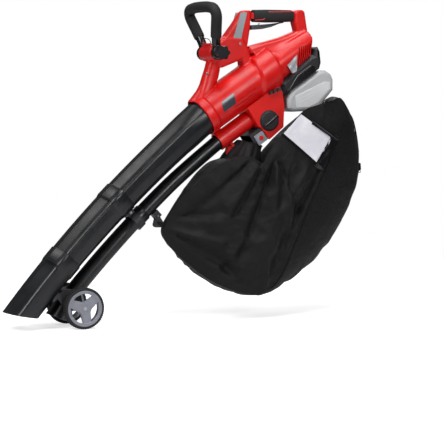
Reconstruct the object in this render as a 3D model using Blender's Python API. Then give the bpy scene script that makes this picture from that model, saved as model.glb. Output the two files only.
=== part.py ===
"""Cordless leaf vacuum mulcher: housing, two tubes, wheels, bail handle, battery and catch bag.

Metres, +Z up. X runs from the nozzle (negative) to the rear handle, -Y is the selector side.
"""
import math

import bmesh
import bpy
from mathutils import Vector

# ---- overall stance -------------------------------------------------------------------
ORIGIN_SHIFT = 0.0978        # moves the model along X so that its box is centred on the origin
FAN_AXIS_ANGLE = 33.2        # slope of the barrel and motor axis, degrees
BARREL_FRONT = (-0.050, 0.565)   # x and z of the barrel's front centre
GAP = 0.0003                 # clearance between touching pieces
MERGE = 0.000004             # points closer than this after a Boolean are one point

# ---- housing --------------------------------------------------------------------------
BARREL_RADIUS = 0.0545
BARREL_LENGTH = 0.196
BARREL_BORE = 0.0500
DRUM_RADIUS = 0.0600
DRUM_LENGTH = 0.036
DRUM_WALL = 0.003
MOTOR_RADIUS = 0.0500        # motor cover behind the drum
MOTOR_TAIL_RADIUS = 0.0440
MOTOR_LENGTH = 0.110
MOTOR_BORE = 0.0400
COLLAR_RADIUS = 0.0575       # socket ring that takes the suction tube
COLLAR_BORE = 0.0535
COLLAR_REACH = 0.016         # ring in front of the barrel
FRAME_HALF_WIDTH = 0.0170    # handle frame: pillar, posts and strut
PIVOT = (-0.032, 0.731)      # bail pivot, x and z
HEAD_RADIUS = 0.0230
HEAD_HALF_WIDTH = 0.0380
GRIP_Z = 0.833               # middle height of the rear grip
GRIP_HEIGHT = 0.036
GRIP_WIDTH = 0.034
GRIP_WALL = 0.0055
GRIP_X = (0.092, 0.226)
STRIPE_THICKNESS = 0.0012

# ---- duct and selector ----------------------------------------------------------------
DUCT_DROP = 0.084            # duct axis below the fan axis
DUCT_RADIUS = 0.0245
DUCT_BORE = 0.0205
DUCT_COLLAR_RADIUS = 0.0258
DUCT_COLLAR_BORE = 0.0230
SELECTOR_HALF_WIDTH = 0.0400
SELECTOR_WALL = 0.0030
KNOB_AT = (0.136, -0.111)    # selector knob, along and above the fan axis
KNOB_RADIUS = 0.0265
FLAP_LENGTH = 0.024
TAB_PIVOT = (0.018, -0.115)    # release tab's pin, along and above the fan axis
TAB_HALF_WIDTH = 0.0090
TAB_PIN_RADIUS = 0.0012
TAB_LUG_WIDTH = 0.0032

# ---- motor and fan --------------------------------------------------------------------
SHAFT_RADIUS = 0.0040
IMPELLER_RADIUS = 0.0530
IMPELLER_BLADES = 8
NUT_BORE = SHAFT_RADIUS / math.cos(math.radians(30.0)) + GAP   # across a hexagon's corners
ROTOR_RADIUS = 0.0215
STATOR_BORE = 0.0222
MOTOR_FIT = 0.0004           # radial clearance of the parts seated in the motor room
BOARD_THICKNESS = 0.0016

# ---- tubes ----------------------------------------------------------------------------
TUBE_HEADING = (38.0, 50.5)  # slope of the tube at the barrel and at the nozzle, degrees
TUBE_LENGTH = 0.750
TUBE_WALL = 0.0025
# half width and half height: at the barrel, change over the first bend, change to the nozzle
SUCTION_SIZE = ((0.0510, 0.0040, 0.0040), (0.0495, -0.0055, -0.0060))
SUCTION_JOINT = 0.368        # end of the upper tube, measured along the tube
NOZZLE_JOINT = 0.592
SOCKET_LENGTH = 0.038
BLOWER_RADIUS = 0.0205
BLOWER_DROP = 0.078          # blower tube below the suction tube, past its first bend
BLOWER_JOINT = 0.352
BLOWER_END = 0.695

# ---- wheels ---------------------------------------------------------------------------
AXLE_STATION = 0.635         # where the axle bracket sits along the tube
AXLE_DROP = 0.107            # axle below the suction tube's centre line
AXLE_RADIUS = 0.0050
WHEEL_RADIUS = 0.0552
RIM_RADIUS = 0.0478
WHEEL_WIDTH = 0.024
WHEEL_TRACK = 0.130
BRACKET_HALF_WIDTH = 0.046

# ---- bail handle ----------------------------------------------------------------------
BAIL_HEIGHT = 0.128
BAIL_LEAN = 14.0             # degrees forward of upright
BAIL_RADIUS = 0.0122
BAIL_TOP_HALF = 0.088
BAIL_LEG_Y = 0.0452
BAIL_HUB_RADIUS = 0.0200
BAIL_HUB_WIDTH = 0.0190
BAIL_GRIP_RADIUS = 0.0155
BOLT_RADIUS = 0.0040

# ---- battery and bag ------------------------------------------------------------------
BATTERY_FRONT = 0.238        # along the fan axis
BATTERY_LENGTH = 0.110
BATTERY_HEIGHT = 0.060
BATTERY_WIDTH = 0.076
BATTERY_TOP = -0.097         # top face below the fan axis
FOOT_WIDTH = 0.080
LATCH_HALF_WIDTH = 0.018
LATCH_DEPTH = 0.003          # how far the latch sits into the pack's rear face
LATCH_PROUD = 0.003
LATCH_TRAVEL = 0.002
BAG_HALF_WIDTH = 0.105
STRAP_WIDTH = 0.028
STRAP_THICKNESS = 0.002
BUTTON_RADIUS = 0.0058

AXIS = math.radians(FAN_AXIS_ANGLE)
ALONG = (math.cos(AXIS), math.sin(AXIS))


# ---- frames ---------------------------------------------------------------------------
def to_axis(x, z):
    """Turn a point of the side view into distances along and above the fan axis."""
    dx, dz = x - BARREL_FRONT[0], z - BARREL_FRONT[1]
    return dx * ALONG[0] + dz * ALONG[1], -dx * ALONG[1] + dz * ALONG[0]


def from_axis(s, t):
    """Turn distances along and above the fan axis into a point of the side view."""
    return (BARREL_FRONT[0] + s * ALONG[0] - t * ALONG[1],
            BARREL_FRONT[1] + s * ALONG[1] + t * ALONG[0])


def heading(distance):
    """Slope of the suction tube in radians, this far along it."""
    share = distance / TUBE_LENGTH
    return math.radians(TUBE_HEADING[0] + share * (TUBE_HEADING[1] - TUBE_HEADING[0]))


def tube_point(distance, drop=0.0):
    """Point on the tube's arc, optionally lower by drop, square to the tube."""
    turn = math.radians(TUBE_HEADING[1] - TUBE_HEADING[0])
    start, now = heading(0.0), heading(distance)
    bend = TUBE_LENGTH / turn
    x = BARREL_FRONT[0] - bend * (math.sin(now) - math.sin(start))
    z = BARREL_FRONT[1] + bend * (math.cos(now) - math.cos(start))
    return x + drop * math.sin(now), z - drop * math.cos(now)


# ---- materials ------------------------------------------------------------------------
def material(name, colour, roughness, metallic=0.0):
    made = bpy.data.materials.new(name)
    made.use_nodes = True
    shader = made.node_tree.nodes["Principled BSDF"]
    shader.inputs["Base Color"].default_value = (*colour, 1.0)
    shader.inputs["Roughness"].default_value = roughness
    shader.inputs["Metallic"].default_value = metallic
    made.diffuse_color = (*colour, 1.0)
    return made


# ---- mesh helpers ---------------------------------------------------------------------
def finish(name, bm, look, parent=None, at=(0.0, 0.0, 0.0), sharp=32.0):
    """Close a bmesh into a named object."""
    bmesh.ops.recalc_face_normals(bm, faces=bm.faces)
    mesh = bpy.data.meshes.new(name)
    bm.to_mesh(mesh)
    bm.free()
    mesh.materials.append(LOOKS[look])
    mesh.shade_smooth()
    mesh.set_sharp_from_angle(angle=math.radians(sharp))
    piece = bpy.data.objects.new(name, mesh)
    bpy.context.collection.objects.link(piece)
    piece.location = at
    piece.parent = parent
    return piece


def extruded(outline, y_low, y_high):
    """Flat outline of (x, z) points, given a thickness along Y."""
    bm = bmesh.new()
    face = bm.faces.new([bm.verts.new((x, y_low, z)) for x, z in outline])
    bm.normal_update()
    new = bmesh.ops.extrude_face_region(bm, geom=[face])["geom"]
    verts = [v for v in new if isinstance(v, bmesh.types.BMVert)]
    bmesh.ops.translate(bm, verts=verts, vec=(0.0, y_high - y_low, 0.0))
    return bm


def turned(profile, axis="Y", segments=32, centre=(0.0, 0.0, 0.0)):
    """Revolve (along, radius) points round an axis; the profile closes on itself or on the axis."""
    bm = bmesh.new()
    rings = []
    for along, radius in profile:
        ring = []
        for k in range(segments if radius > 1e-7 else 1):
            a = 2 * math.pi * k / segments
            c, d = radius * math.cos(a), radius * math.sin(a)
            point = (along, c, d) if axis == "X" else (c, along, d)
            ring.append(bm.verts.new(Vector(point) + Vector(centre)))
        rings.append(ring)
    count = len(rings)
    for i in range(count):
        low, high = rings[i], rings[(i + 1) % count]
        if len(low) == 1 and len(high) == 1:
            continue
        for k in range(segments):
            n = (k + 1) % segments
            corners = [low[k % len(low)], low[n % len(low)], high[n % len(high)], high[k % len(high)]]
            unique = list(dict.fromkeys(corners))
            bm.faces.new(unique)
    return bm


def skin(bm, rings, closed=False):
    """Join rings of points with quads and return their vertices."""
    made = [[bm.verts.new(p) for p in ring] for ring in rings]
    pairs = list(zip(made, made[1:])) + ([(made[-1], made[0])] if closed else [])
    for low, high in pairs:
        for k in range(len(low)):
            n = (k + 1) % len(low)
            bm.faces.new((low[k], low[n], high[n], high[k]))
    return made


def solid_loft(rings):
    bm = bmesh.new()
    made = skin(bm, rings)
    bm.faces.new(made[0])
    bm.faces.new(made[-1])
    return bm


def hollow_loft(outer, inner):
    """Pipe with its own outer and inner rings, open at both ends."""
    bm = bmesh.new()
    out, inn = skin(bm, outer), skin(bm, inner)
    for a, b in ((out[0], inn[0]), (out[-1], inn[-1])):
        for k in range(len(a)):
            n = (k + 1) % len(a)
            bm.faces.new((a[k], a[n], b[n], b[k]))
    return bm


def oval_ring(centre, normal, half_width, half_height, power=2.0, sides=24):
    """Ring square to the side view: width along Y, height along normal (x, z)."""
    ring = []
    for k in range(sides):
        a = 2 * math.pi * k / sides
        c, d = math.cos(a), math.sin(a)
        w = half_width * math.copysign(abs(c) ** (2 / power), c)
        h = half_height * math.copysign(abs(d) ** (2 / power), d)
        ring.append((centre[0] + h * normal[0], w, centre[1] + h * normal[1]))
    return ring


def tube_ring(distance, drop, half_width, half_height, power=2.0, sides=24, grow=0.0):
    """Ring across the tube at this distance, square to its heading."""
    now = heading(distance)
    return oval_ring(tube_point(distance, drop), (-math.sin(now), math.cos(now)),
                     half_width + grow, half_height + grow, power, sides)


def swept(points, radius, sides=12, closed=False, inner=None):
    """Round bar or pipe along points, its rings square to the path."""
    path = [Vector(p) for p in points]
    count = len(path)
    outer_rings, inner_rings = [], []
    for i, point in enumerate(path):
        before = path[i - 1] if closed or i else path[i]
        after = path[(i + 1) % count] if closed or i < count - 1 else path[i]
        tangent = (after - before).normalized()
        side = tangent.cross(Vector((1.0, 0.0, 0.0))).normalized()
        up = side.cross(tangent).normalized()
        for rings, size in ((outer_rings, radius), (inner_rings, inner)):
            if size:
                angles = [2 * math.pi * k / sides for k in range(sides)]
                rings.append([point + side * size * math.cos(a) + up * size * math.sin(a)
                              for a in angles])
    if inner:
        return hollow_loft(outer_rings, inner_rings)
    if closed:
        bm = bmesh.new()
        skin(bm, outer_rings, closed=True)
        return bm
    return solid_loft(outer_rings)


def box(x, y, z):
    """Block between two limits on each axis."""
    return extruded([(x[0], z[0]), (x[1], z[0]), (x[1], z[1]), (x[0], z[1])], *y)


def combine(piece, bm, operation="DIFFERENCE"):
    """Apply a Boolean with a bmesh that is given in the piece's own space."""
    bmesh.ops.recalc_face_normals(bm, faces=bm.faces)
    mesh = bpy.data.meshes.new("tool")
    bm.to_mesh(mesh)
    bm.free()
    tool = bpy.data.objects.new("tool", mesh)
    bpy.context.collection.objects.link(tool)
    tool.parent = piece
    modifier = piece.modifiers.new("join", "BOOLEAN")
    modifier.operation = operation
    modifier.solver = "EXACT"
    modifier.object = tool
    bpy.context.view_layer.update()
    depsgraph = bpy.context.evaluated_depsgraph_get()
    result = bpy.data.meshes.new_from_object(piece.evaluated_get(depsgraph))
    piece.modifiers.clear()
    clean = bmesh.new()
    clean.from_mesh(result)
    bmesh.ops.remove_doubles(clean, verts=clean.verts, dist=MERGE)
    bmesh.ops.dissolve_degenerate(clean, edges=clean.edges, dist=MERGE)
    clean.to_mesh(result)
    clean.free()
    old, name = piece.data, piece.data.name
    piece.data = result
    bpy.data.meshes.remove(old)
    result.name = name
    bpy.data.objects.remove(tool)
    bpy.data.meshes.remove(mesh)
    result.shade_smooth()
    result.set_sharp_from_angle(angle=math.radians(32.0))
    return piece


def copy_of(piece, name):
    twin = piece.copy()
    twin.data = piece.data.copy()
    twin.name = name
    twin.data.name = name
    bpy.context.collection.objects.link(twin)
    return twin


def split_halves(piece, left_name, right_name):
    """Cut a solid at Y = 0 into a left (-Y) and a right shell with the usual gap between them."""
    right = copy_of(piece, right_name)
    piece.name = left_name
    far = 1.0
    combine(piece, box((-far, far), (-GAP / 2, far), (-far, far)))
    combine(right, box((-far, far), (-far, GAP / 2), (-far, far)))
    return piece, right


def circle(centre, radius, sides=24, start=0.0, sweep=360.0):
    """Points of a circle or an arc in the side view."""
    steps = sides if sweep >= 360.0 else sides + 1
    return [(centre[0] + radius * math.cos(math.radians(start + sweep * k / sides)),
             centre[1] + radius * math.sin(math.radians(start + sweep * k / sides)))
            for k in range(steps)]


def hull(points):
    """Convex outline round points."""
    ordered = sorted(set(points))

    def chain(items):
        line = []
        for p in items:
            while len(line) > 1:
                (ax, az), (bx, bz) = line[-2], line[-1]
                if (bx - ax) * (p[1] - az) - (bz - az) * (p[0] - ax) > 0:
                    break
                line.pop()
            line.append(p)
        return line[:-1]

    return chain(ordered) + chain(ordered[::-1])


def empty(name, parent=None, at=(0.0, 0.0, 0.0), tilt=0.0):
    made = bpy.data.objects.new(name, None)
    bpy.context.collection.objects.link(made)
    made.parent = parent
    made.location = at
    made.rotation_euler = (0.0, -math.radians(tilt), 0.0)
    return made


# ---- housing --------------------------------------------------------------------------
def housing_profile(grow=0.0):
    """Outer turned shape: socket ring, barrel, fan drum and motor cover."""
    drum_end = BARREL_LENGTH + DRUM_LENGTH
    tail = drum_end + MOTOR_LENGTH
    points = [(-COLLAR_REACH, 0.0), (-COLLAR_REACH, COLLAR_RADIUS), (0.008, COLLAR_RADIUS),
              (0.008, BARREL_RADIUS), (BARREL_LENGTH, BARREL_RADIUS), (BARREL_LENGTH, DRUM_RADIUS),
              (drum_end, DRUM_RADIUS), (drum_end, MOTOR_RADIUS), (tail, MOTOR_TAIL_RADIUS),
              (tail + 0.008, MOTOR_TAIL_RADIUS - 0.008), (tail + 0.008, 0.0)]
    return [(s, r + grow if r else 0.0) for s, r in points]


def bulkhead():
    """Start and end of the wall between fan and motor, along the fan axis."""
    start = BARREL_LENGTH + DRUM_LENGTH - DRUM_WALL
    return start, start + 0.006


def cavity_profile():
    """Inside of the housing: tube socket, air barrel, fan chamber, bearing seat, motor room."""
    fan_end, motor_start = bulkhead()
    motor_end = motor_start + MOTOR_LENGTH - 0.010
    return [(-0.030, 0.0), (-0.030, COLLAR_BORE), (0.0, COLLAR_BORE), (0.0, BARREL_BORE),
            (BARREL_LENGTH + 0.002, BARREL_BORE), (BARREL_LENGTH + 0.002, DRUM_RADIUS - DRUM_WALL),
            (fan_end, DRUM_RADIUS - DRUM_WALL), (fan_end, 0.011 + GAP), (motor_start, 0.011 + GAP),
            (motor_start, MOTOR_BORE), (motor_end, MOTOR_BORE), (motor_end, 0.0)]


def side_view(points):
    return [to_axis(x, z) for x, z in points]


def frame_solids():
    """Handle frame: strut, head, bridge, pillar, motor ridge, rear post and grip core."""
    w = FRAME_HALF_WIDTH
    head = side_view([PIVOT])[0]
    strut = side_view([(-0.097, 0.606), (-0.070, 0.629), (-0.060, 0.662), (-0.046, 0.703),
                       (-0.044, 0.722), (-0.012, 0.712), (-0.008, 0.690), (-0.015, 0.658),
                       (-0.028, 0.630), (-0.046, 0.605)])
    bridge = side_view([(-0.046, 0.712), (-0.034, 0.752), (0.0, 0.776), (0.060, 0.772),
                        (0.072, 0.742), (0.080, 0.700), (0.078, 0.686), (0.056, 0.686),
                        (0.0525, 0.7135), (-0.006, 0.691), (-0.014, 0.694)])
    pillar = side_view([(0.0, 0.770), (0.056, 0.843), (0.062, 0.848), (0.080, 0.848),
                        (0.078, 0.800), (0.070, 0.745), (0.040, 0.740)])
    drum_end = BARREL_LENGTH + DRUM_LENGTH
    ridge = side_view([(0.060, 0.748), (0.128, 0.763), (0.175, 0.775), (0.222, 0.792),
                       (0.254, 0.794), (0.258, 0.745), (0.258, 0.738)])
    ridge += [(drum_end + MOTOR_LENGTH - 0.006, -0.025), (drum_end, -0.025), (0.205, 0.0), (0.205, 0.050)]
    post = side_view([(0.224, 0.790), (0.2145, 0.821), (0.2145, 0.846), (0.226, 0.852),
                      (0.243, 0.852), (0.248, 0.845), (0.254, 0.794), (0.256, 0.760), (0.236, 0.756)])
    core = side_view([(0.070, GRIP_Z - GRIP_HEIGHT / 2 + GRIP_WALL + GAP),
                      (0.222, GRIP_Z - GRIP_HEIGHT / 2 + GRIP_WALL + GAP),
                      (0.222, GRIP_Z + GRIP_HEIGHT / 2 - GRIP_WALL - GAP),
                      (0.070, GRIP_Z + GRIP_HEIGHT / 2 - GRIP_WALL - GAP)])
    core_half = GRIP_WIDTH / 2 - GRIP_WALL - GAP
    return [extruded(strut, -w - 0.003, w + 0.003),
            extruded(circle(head, HEAD_RADIUS), -HEAD_HALF_WIDTH, HEAD_HALF_WIDTH),
            extruded(bridge, -w - 0.002, w + 0.002), extruded(pillar, -w, w),
            extruded(ridge, -0.030, 0.030), extruded(post, -w, w),
            extruded(core, -core_half, core_half)]


def stripe_outline(inset=0.0):
    """Silver insert on the side of the pillar."""
    corners = [(0.049, 0.843), (0.068, 0.843), (0.047, 0.757), (0.017, 0.744)]
    mid = (sum(x for x, _ in corners) / 4, sum(z for _, z in corners) / 4)
    scale = 1.0 - inset / 0.02
    return side_view([(mid[0] + (x - mid[0]) * scale, mid[1] + (z - mid[1]) * scale)
                      for x, z in corners])


def scroll_throat():
    """Opening between the fan drum and the selector chamber."""
    start = BARREL_LENGTH + 0.003
    return box((start, start + 0.010), (-0.022, 0.022), (-0.070, -0.040))


def ring_ear():
    """Seat of the strap ring on the head, along and above the fan axis."""
    return side_view([(PIVOT[0] - 0.012, PIVOT[1] + 0.021)])[0]


def make_housing(axis_frame):
    shell = finish("housing", turned(housing_profile(), "X", 36), "red", axis_frame)
    for solid in frame_solids():
        combine(shell, solid, "UNION")
    ear = ring_ear()
    combine(shell, extruded(circle(ear, 0.006, 12), -0.020, 0.020), "UNION")
    combine(shell, turned(cavity_profile(), "X", 36))
    combine(shell, scroll_throat())
    head = side_view([PIVOT])[0]
    combine(shell, extruded(circle(head, BOLT_RADIUS + GAP, 16), -0.06, 0.06))
    combine(shell, extruded(circle(ear, 0.0018, 12), -0.06, 0.06))
    for side in (-1, 1):
        low, high = FRAME_HALF_WIDTH - STRIPE_THICKNESS, FRAME_HALF_WIDTH + 0.01
        limits = (low, high) if side > 0 else (-high, -low)
        combine(shell, extruded(stripe_outline(), *limits))
    pocket = side_view([(0.058, 0.798), (0.090, 0.798), (0.090, 0.817), (0.058, 0.817)])
    combine(shell, extruded(pocket, -0.008, 0.008))
    for k in range(5):
        x = 0.214 + 0.0075 * k
        foot = 0.693 + 0.55 * (x - 0.214)
        slot = side_view([(x, foot + 0.012), (x + 0.003, foot + 0.012), (x + 0.003, 0.752), (x, 0.752)])
        combine(shell, extruded(slot, -0.08, 0.08))
    split_halves(shell, "housing_left", "housing_right")
    for side, name in ((-1, "stripe_left"), (1, "stripe_right")):
        near = FRAME_HALF_WIDTH - STRIPE_THICKNESS + GAP
        limits = sorted((side * near, side * (near + STRIPE_THICKNESS)))
        finish(name, extruded(stripe_outline(GAP), *limits), "silver", axis_frame)


# ---- motor and fan --------------------------------------------------------------------
def make_motor(axis_frame):
    fan_end, motor_start = bulkhead()
    can = (motor_start + 0.006, motor_start + 0.062)
    seat = MOTOR_BORE - MOTOR_FIT
    finish("motor_stator", turned([(can[0], STATOR_BORE), (can[0], seat), (can[1], seat),
                                   (can[1], STATOR_BORE)], "X", 36), "steel", axis_frame)
    carrier = can[1] + 0.004
    finish("bearing_carrier", turned([(carrier, 0.008 + GAP), (carrier, seat), (carrier + 0.006, seat),
                                      (carrier + 0.006, 0.008 + GAP)], "X", 36), "black", axis_frame)
    finish("bearing_rear", turned([(carrier, SHAFT_RADIUS + GAP), (carrier, 0.008),
                                   (carrier + 0.006, 0.008), (carrier + 0.006, SHAFT_RADIUS + GAP)],
                                  "X", 20), "steel", axis_frame)
    finish("bearing_front", turned([(fan_end, SHAFT_RADIUS + GAP), (fan_end, 0.011),
                                    (motor_start, 0.011), (motor_start, SHAFT_RADIUS + GAP)],
                                   "X", 20), "steel", axis_frame)
    board = carrier + 0.012
    finish("control_board", turned([(board, 0.0), (board, seat), (board + BOARD_THICKNESS, seat),
                                    (board + BOARD_THICKNESS, 0.0)], "X", 36), "board", axis_frame)
    rotor = empty("rotor_axis", axis_frame)
    finish("motor_shaft", turned([(0.190, 0.0), (0.190, SHAFT_RADIUS), (carrier + 0.008, SHAFT_RADIUS),
                                  (carrier + 0.008, 0.0)], "X", 16), "steel", rotor)
    finish("motor_rotor", turned([(can[0], SHAFT_RADIUS + GAP), (can[0], ROTOR_RADIUS),
                                  (can[1], ROTOR_RADIUS), (can[1], SHAFT_RADIUS + GAP)], "X", 24),
           "steel", rotor)
    finish("impeller_nut", turned([(0.1945, NUT_BORE), (0.1945, 0.0080),
                                   (0.1995, 0.0080), (0.1995, NUT_BORE)], "X", 6),
           "steel", rotor, sharp=10.0)
    make_impeller(rotor, fan_end)


def make_impeller(rotor, fan_end):
    back = fan_end - 0.002
    disc = turned([(0.200, SHAFT_RADIUS + GAP), (0.200, 0.010), (back - 0.003, 0.016),
                   (back - 0.003, IMPELLER_RADIUS), (back, IMPELLER_RADIUS),
                   (back, SHAFT_RADIUS + GAP)], "X", 32)
    impeller = finish("impeller", disc, "black", rotor)
    for k in range(IMPELLER_BLADES):
        base = 2 * math.pi * k / IMPELLER_BLADES
        edge = []
        for step in range(5):
            share = step / 4
            radius = 0.010 + share * (IMPELLER_RADIUS - 0.012)
            edge.append((radius, base + 0.7 * share))
        outline = [(r * math.cos(a), r * math.sin(a)) for r, a in edge]
        outline += [(r * math.cos(a + 0.0016 / r), r * math.sin(a + 0.0016 / r)) for r, a in edge[::-1]]
        bm = bmesh.new()
        face = bm.faces.new([bm.verts.new((back - 0.001, c, d)) for c, d in outline])
        new = bmesh.ops.extrude_face_region(bm, geom=[face])["geom"]
        for v in new:
            if isinstance(v, bmesh.types.BMVert):
                v.co.x = 0.2015
        combine(impeller, bm, "UNION")


# ---- duct and selector ----------------------------------------------------------------
def make_selector(axis_frame):
    outline = [(0.100, -0.045), (0.100, -0.108), (0.104, -0.112), (0.110, -0.155), (0.163, -0.150),
               (0.196, -0.104), (0.212, -0.069), (0.216, -0.045)]
    wall = SELECTOR_WALL
    case = finish("selector", extruded(outline, -SELECTOR_HALF_WIDTH, SELECTOR_HALF_WIDTH),
                  "red", axis_frame)
    pipe = turned([(-0.012, 0.0), (-0.012, DUCT_COLLAR_RADIUS), (0.010, DUCT_COLLAR_RADIUS),
                   (0.010, DUCT_RADIUS), (0.1018, DUCT_RADIUS), (0.1018, 0.0)], "X", 32,
                  (0.0, 0.0, -DUCT_DROP))
    combine(case, pipe, "UNION")
    for side in (-1, 1):
        lug = sorted((side * (TAB_HALF_WIDTH + GAP), side * (TAB_HALF_WIDTH + TAB_LUG_WIDTH)))
        combine(case, box((TAB_PIVOT[0] - 0.004, TAB_PIVOT[0] + 0.004), lug,
                          (TAB_PIVOT[1] - 0.003, TAB_PIVOT[1] + 0.012)), "UNION")
    combine(case, turned(housing_profile(GAP), "X", 36))
    chamber = [(0.100 + wall, -0.064), (0.100 + wall, -0.107), (0.107 + wall, -0.111),
               (0.112 + wall, -0.155 + wall), (0.1615, -0.150 + wall), (0.1925, -0.103),
               (0.2085, -0.069), (0.209, -0.064)]
    half = SELECTOR_HALF_WIDTH - wall
    combine(case, extruded(chamber, -half, half))
    combine(case, scroll_throat())
    combine(case, turned([(-0.020, 0.0), (-0.020, DUCT_COLLAR_BORE), (0.0, DUCT_COLLAR_BORE),
                          (0.0, DUCT_BORE), (0.106, DUCT_BORE), (0.106, 0.0)], "X", 32,
                         (0.0, 0.0, -DUCT_DROP)))
    combine(case, box((0.100, 0.118), (-0.030, 0.030), (-0.148, -0.117)))
    combine(case, extruded(circle(KNOB_AT, 0.0055, 16), -0.06, 0.0))
    combine(case, extruded(circle(TAB_PIVOT, TAB_PIN_RADIUS + GAP, 12), -0.03, 0.03))
    split_halves(case, "selector_left", "selector_right")

    turn = empty("selector_axis", axis_frame, (KNOB_AT[0], 0.0, KNOB_AT[1]))
    outer = -SELECTOR_HALF_WIDTH - GAP
    knob = finish("mode_knob", turned([(outer, 0.0), (outer, KNOB_RADIUS), (outer - 0.005, KNOB_RADIUS),
                                       (outer - 0.007, KNOB_RADIUS - 0.003), (outer - 0.007, 0.0)],
                                      "Y", 32), "black", turn)
    grip = extruded([(-0.024, -0.0045), (0.024, -0.0045), (0.024, 0.0045), (-0.024, 0.0045)],
                    outer - 0.016, outer - 0.003)
    combine(knob, grip, "UNION")
    flap = finish("mode_flap", turned([(outer + GAP, 0.0), (outer + GAP, 0.005), (half - 0.001, 0.005),
                                       (half - 0.001, 0.0)], "Y", 16), "black", turn)
    leaf = [(math.cos(a) * r, math.sin(a) * r) for r, a in
            ((0.002, math.radians(35)), (FLAP_LENGTH, math.radians(122)),
             (FLAP_LENGTH, math.radians(128)), (0.002, math.radians(215)))]
    combine(flap, extruded(leaf, -half + 0.002, half - 0.002), "UNION")
    pin = TAB_HALF_WIDTH + TAB_LUG_WIDTH
    finish("tab_pin", extruded(circle(TAB_PIVOT, TAB_PIN_RADIUS, 12), -pin, pin), "steel", axis_frame)
    base = empty("tab_axis", axis_frame, (TAB_PIVOT[0], 0.0, TAB_PIVOT[1]))
    tab = finish("release_tab", extruded([(0.003, 0.0035), (0.003, -0.003), (-0.012, -0.010),
                                          (-0.026, -0.013), (-0.028, -0.010), (-0.014, 0.0025)],
                                         -TAB_HALF_WIDTH, TAB_HALF_WIDTH), "red", base)
    combine(tab, extruded(circle((0.0, 0.0), TAB_PIN_RADIUS + GAP, 12), -0.02, 0.02))


# ---- tubes ----------------------------------------------------------------------------
def suction_half(distance):
    """Half width and half height of the suction tube: round at the barrel, then oval."""
    share = min(distance / 0.12, 1.0)
    rest = distance / TUBE_LENGTH
    return tuple(start + share * step + rest * taper for start, step, taper in SUCTION_SIZE)


def suction_rings(distances, grow=0.0):
    rings = []
    for d in distances:
        w, h = suction_half(d)
        power = 2.0 + 0.5 * min(d / 0.12, 1.0)
        rings.append(tube_ring(d, 0.0, w, h, power, 28, grow))
    return rings


def stepped(stations, ring_of):
    """Rings for (distance, growth) pairs."""
    return [ring_of(d, grow) for d, grow in stations]


def make_suction_tube(root):
    wall, fit = TUBE_WALL, TUBE_WALL + GAP
    start = 0.0045
    spans = [start, 0.06, 0.12, 0.20, 0.28, SUCTION_JOINT]
    finish("suction_tube_upper", hollow_loft(suction_rings(spans), suction_rings(spans, -wall)),
           "tube", root)

    def ring(distance, grow):
        return suction_rings([distance], grow)[0]

    top = SUCTION_JOINT - SOCKET_LENGTH
    outer = stepped([(top, fit), (SUCTION_JOINT + 0.004, fit), (SUCTION_JOINT + 0.010, 0.0),
                     (0.44, 0.0), (0.52, 0.0), (NOZZLE_JOINT, 0.0)], ring)
    inner = stepped([(top, GAP), (SUCTION_JOINT + 0.001, GAP), (SUCTION_JOINT + 0.002, -wall),
                     (0.44, -wall), (0.52, -wall), (NOZZLE_JOINT, -wall)], ring)
    finish("suction_tube_lower", hollow_loft(outer, inner), "tube", root)

    top = NOZZLE_JOINT - SOCKET_LENGTH
    outer = stepped([(top, fit), (NOZZLE_JOINT + 0.004, fit), (NOZZLE_JOINT + 0.010, 0.0),
                     (0.65, 0.0), (0.70, 0.0)], ring)
    inner = stepped([(top, GAP), (NOZZLE_JOINT + 0.001, GAP), (NOZZLE_JOINT + 0.002, -wall),
                     (0.65, -wall), (0.70, -wall)], ring)
    mouth = tube_point(TUBE_LENGTH)
    w, h = suction_half(TUBE_LENGTH)
    cut = (-math.cos(math.radians(11.0)), math.sin(math.radians(11.0)))
    stretch = h / math.sin(heading(TUBE_LENGTH) - math.radians(11.0) + math.radians(22.0))
    outer.append(oval_ring(mouth, cut, w, stretch, 2.5, 28))
    inner.append(oval_ring(mouth, cut, w - wall, stretch - wall, 2.5, 28))
    finish("suction_nozzle", hollow_loft(outer, inner), "tube", root)


def blower_drop(distance):
    return DUCT_DROP + (BLOWER_DROP - DUCT_DROP) * min(distance / 0.20, 1.0)


def blower_half(distance):
    share = distance / BLOWER_END
    return BLOWER_RADIUS + 0.007 * share, BLOWER_RADIUS + 0.0015 * share


def blower_ring(distance, grow=0.0):
    w, h = blower_half(distance)
    return tube_ring(distance, blower_drop(distance), w, h, 2.0, 20, grow)


def make_blower_tube(root):
    wall = TUBE_WALL - 0.0005
    spans = [0.012, 0.06, 0.12, 0.20, 0.28, BLOWER_JOINT]
    finish("blower_tube_upper", hollow_loft([blower_ring(d) for d in spans],
                                            [blower_ring(d, -wall) for d in spans]), "tube", root)
    top = BLOWER_JOINT - SOCKET_LENGTH
    inner = stepped([(top, GAP), (BLOWER_JOINT + 0.001, GAP), (BLOWER_JOINT + 0.002, -wall),
                     (0.44, -wall), (0.52, -wall), (0.60, -wall), (0.65, -wall)], blower_ring)
    inner.append(blower_mouth(-wall))
    finish("blower_tube_lower", hollow_loft(blower_lower_rings(0.0), inner), "tube", root)


def blower_mouth(grow):
    """Flattened, nearly level outlet ring."""
    cut = (-math.cos(math.radians(22.0)), math.sin(math.radians(22.0)))
    return oval_ring(tube_point(BLOWER_END, BLOWER_DROP), cut, 0.034 + grow, 0.020 + grow, 2.4, 20)


def blower_lower_rings(grow):
    """Outside of the lower blower tube, which the clip and the axle bracket clasp."""
    fit = TUBE_WALL + GAP
    rings = stepped([(BLOWER_JOINT - SOCKET_LENGTH, fit + grow), (BLOWER_JOINT + 0.004, fit + grow),
                     (BLOWER_JOINT + 0.010, grow), (0.44, grow), (0.52, grow), (0.60, grow),
                     (0.65, grow)], blower_ring)
    return rings + [blower_mouth(grow)]


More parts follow.
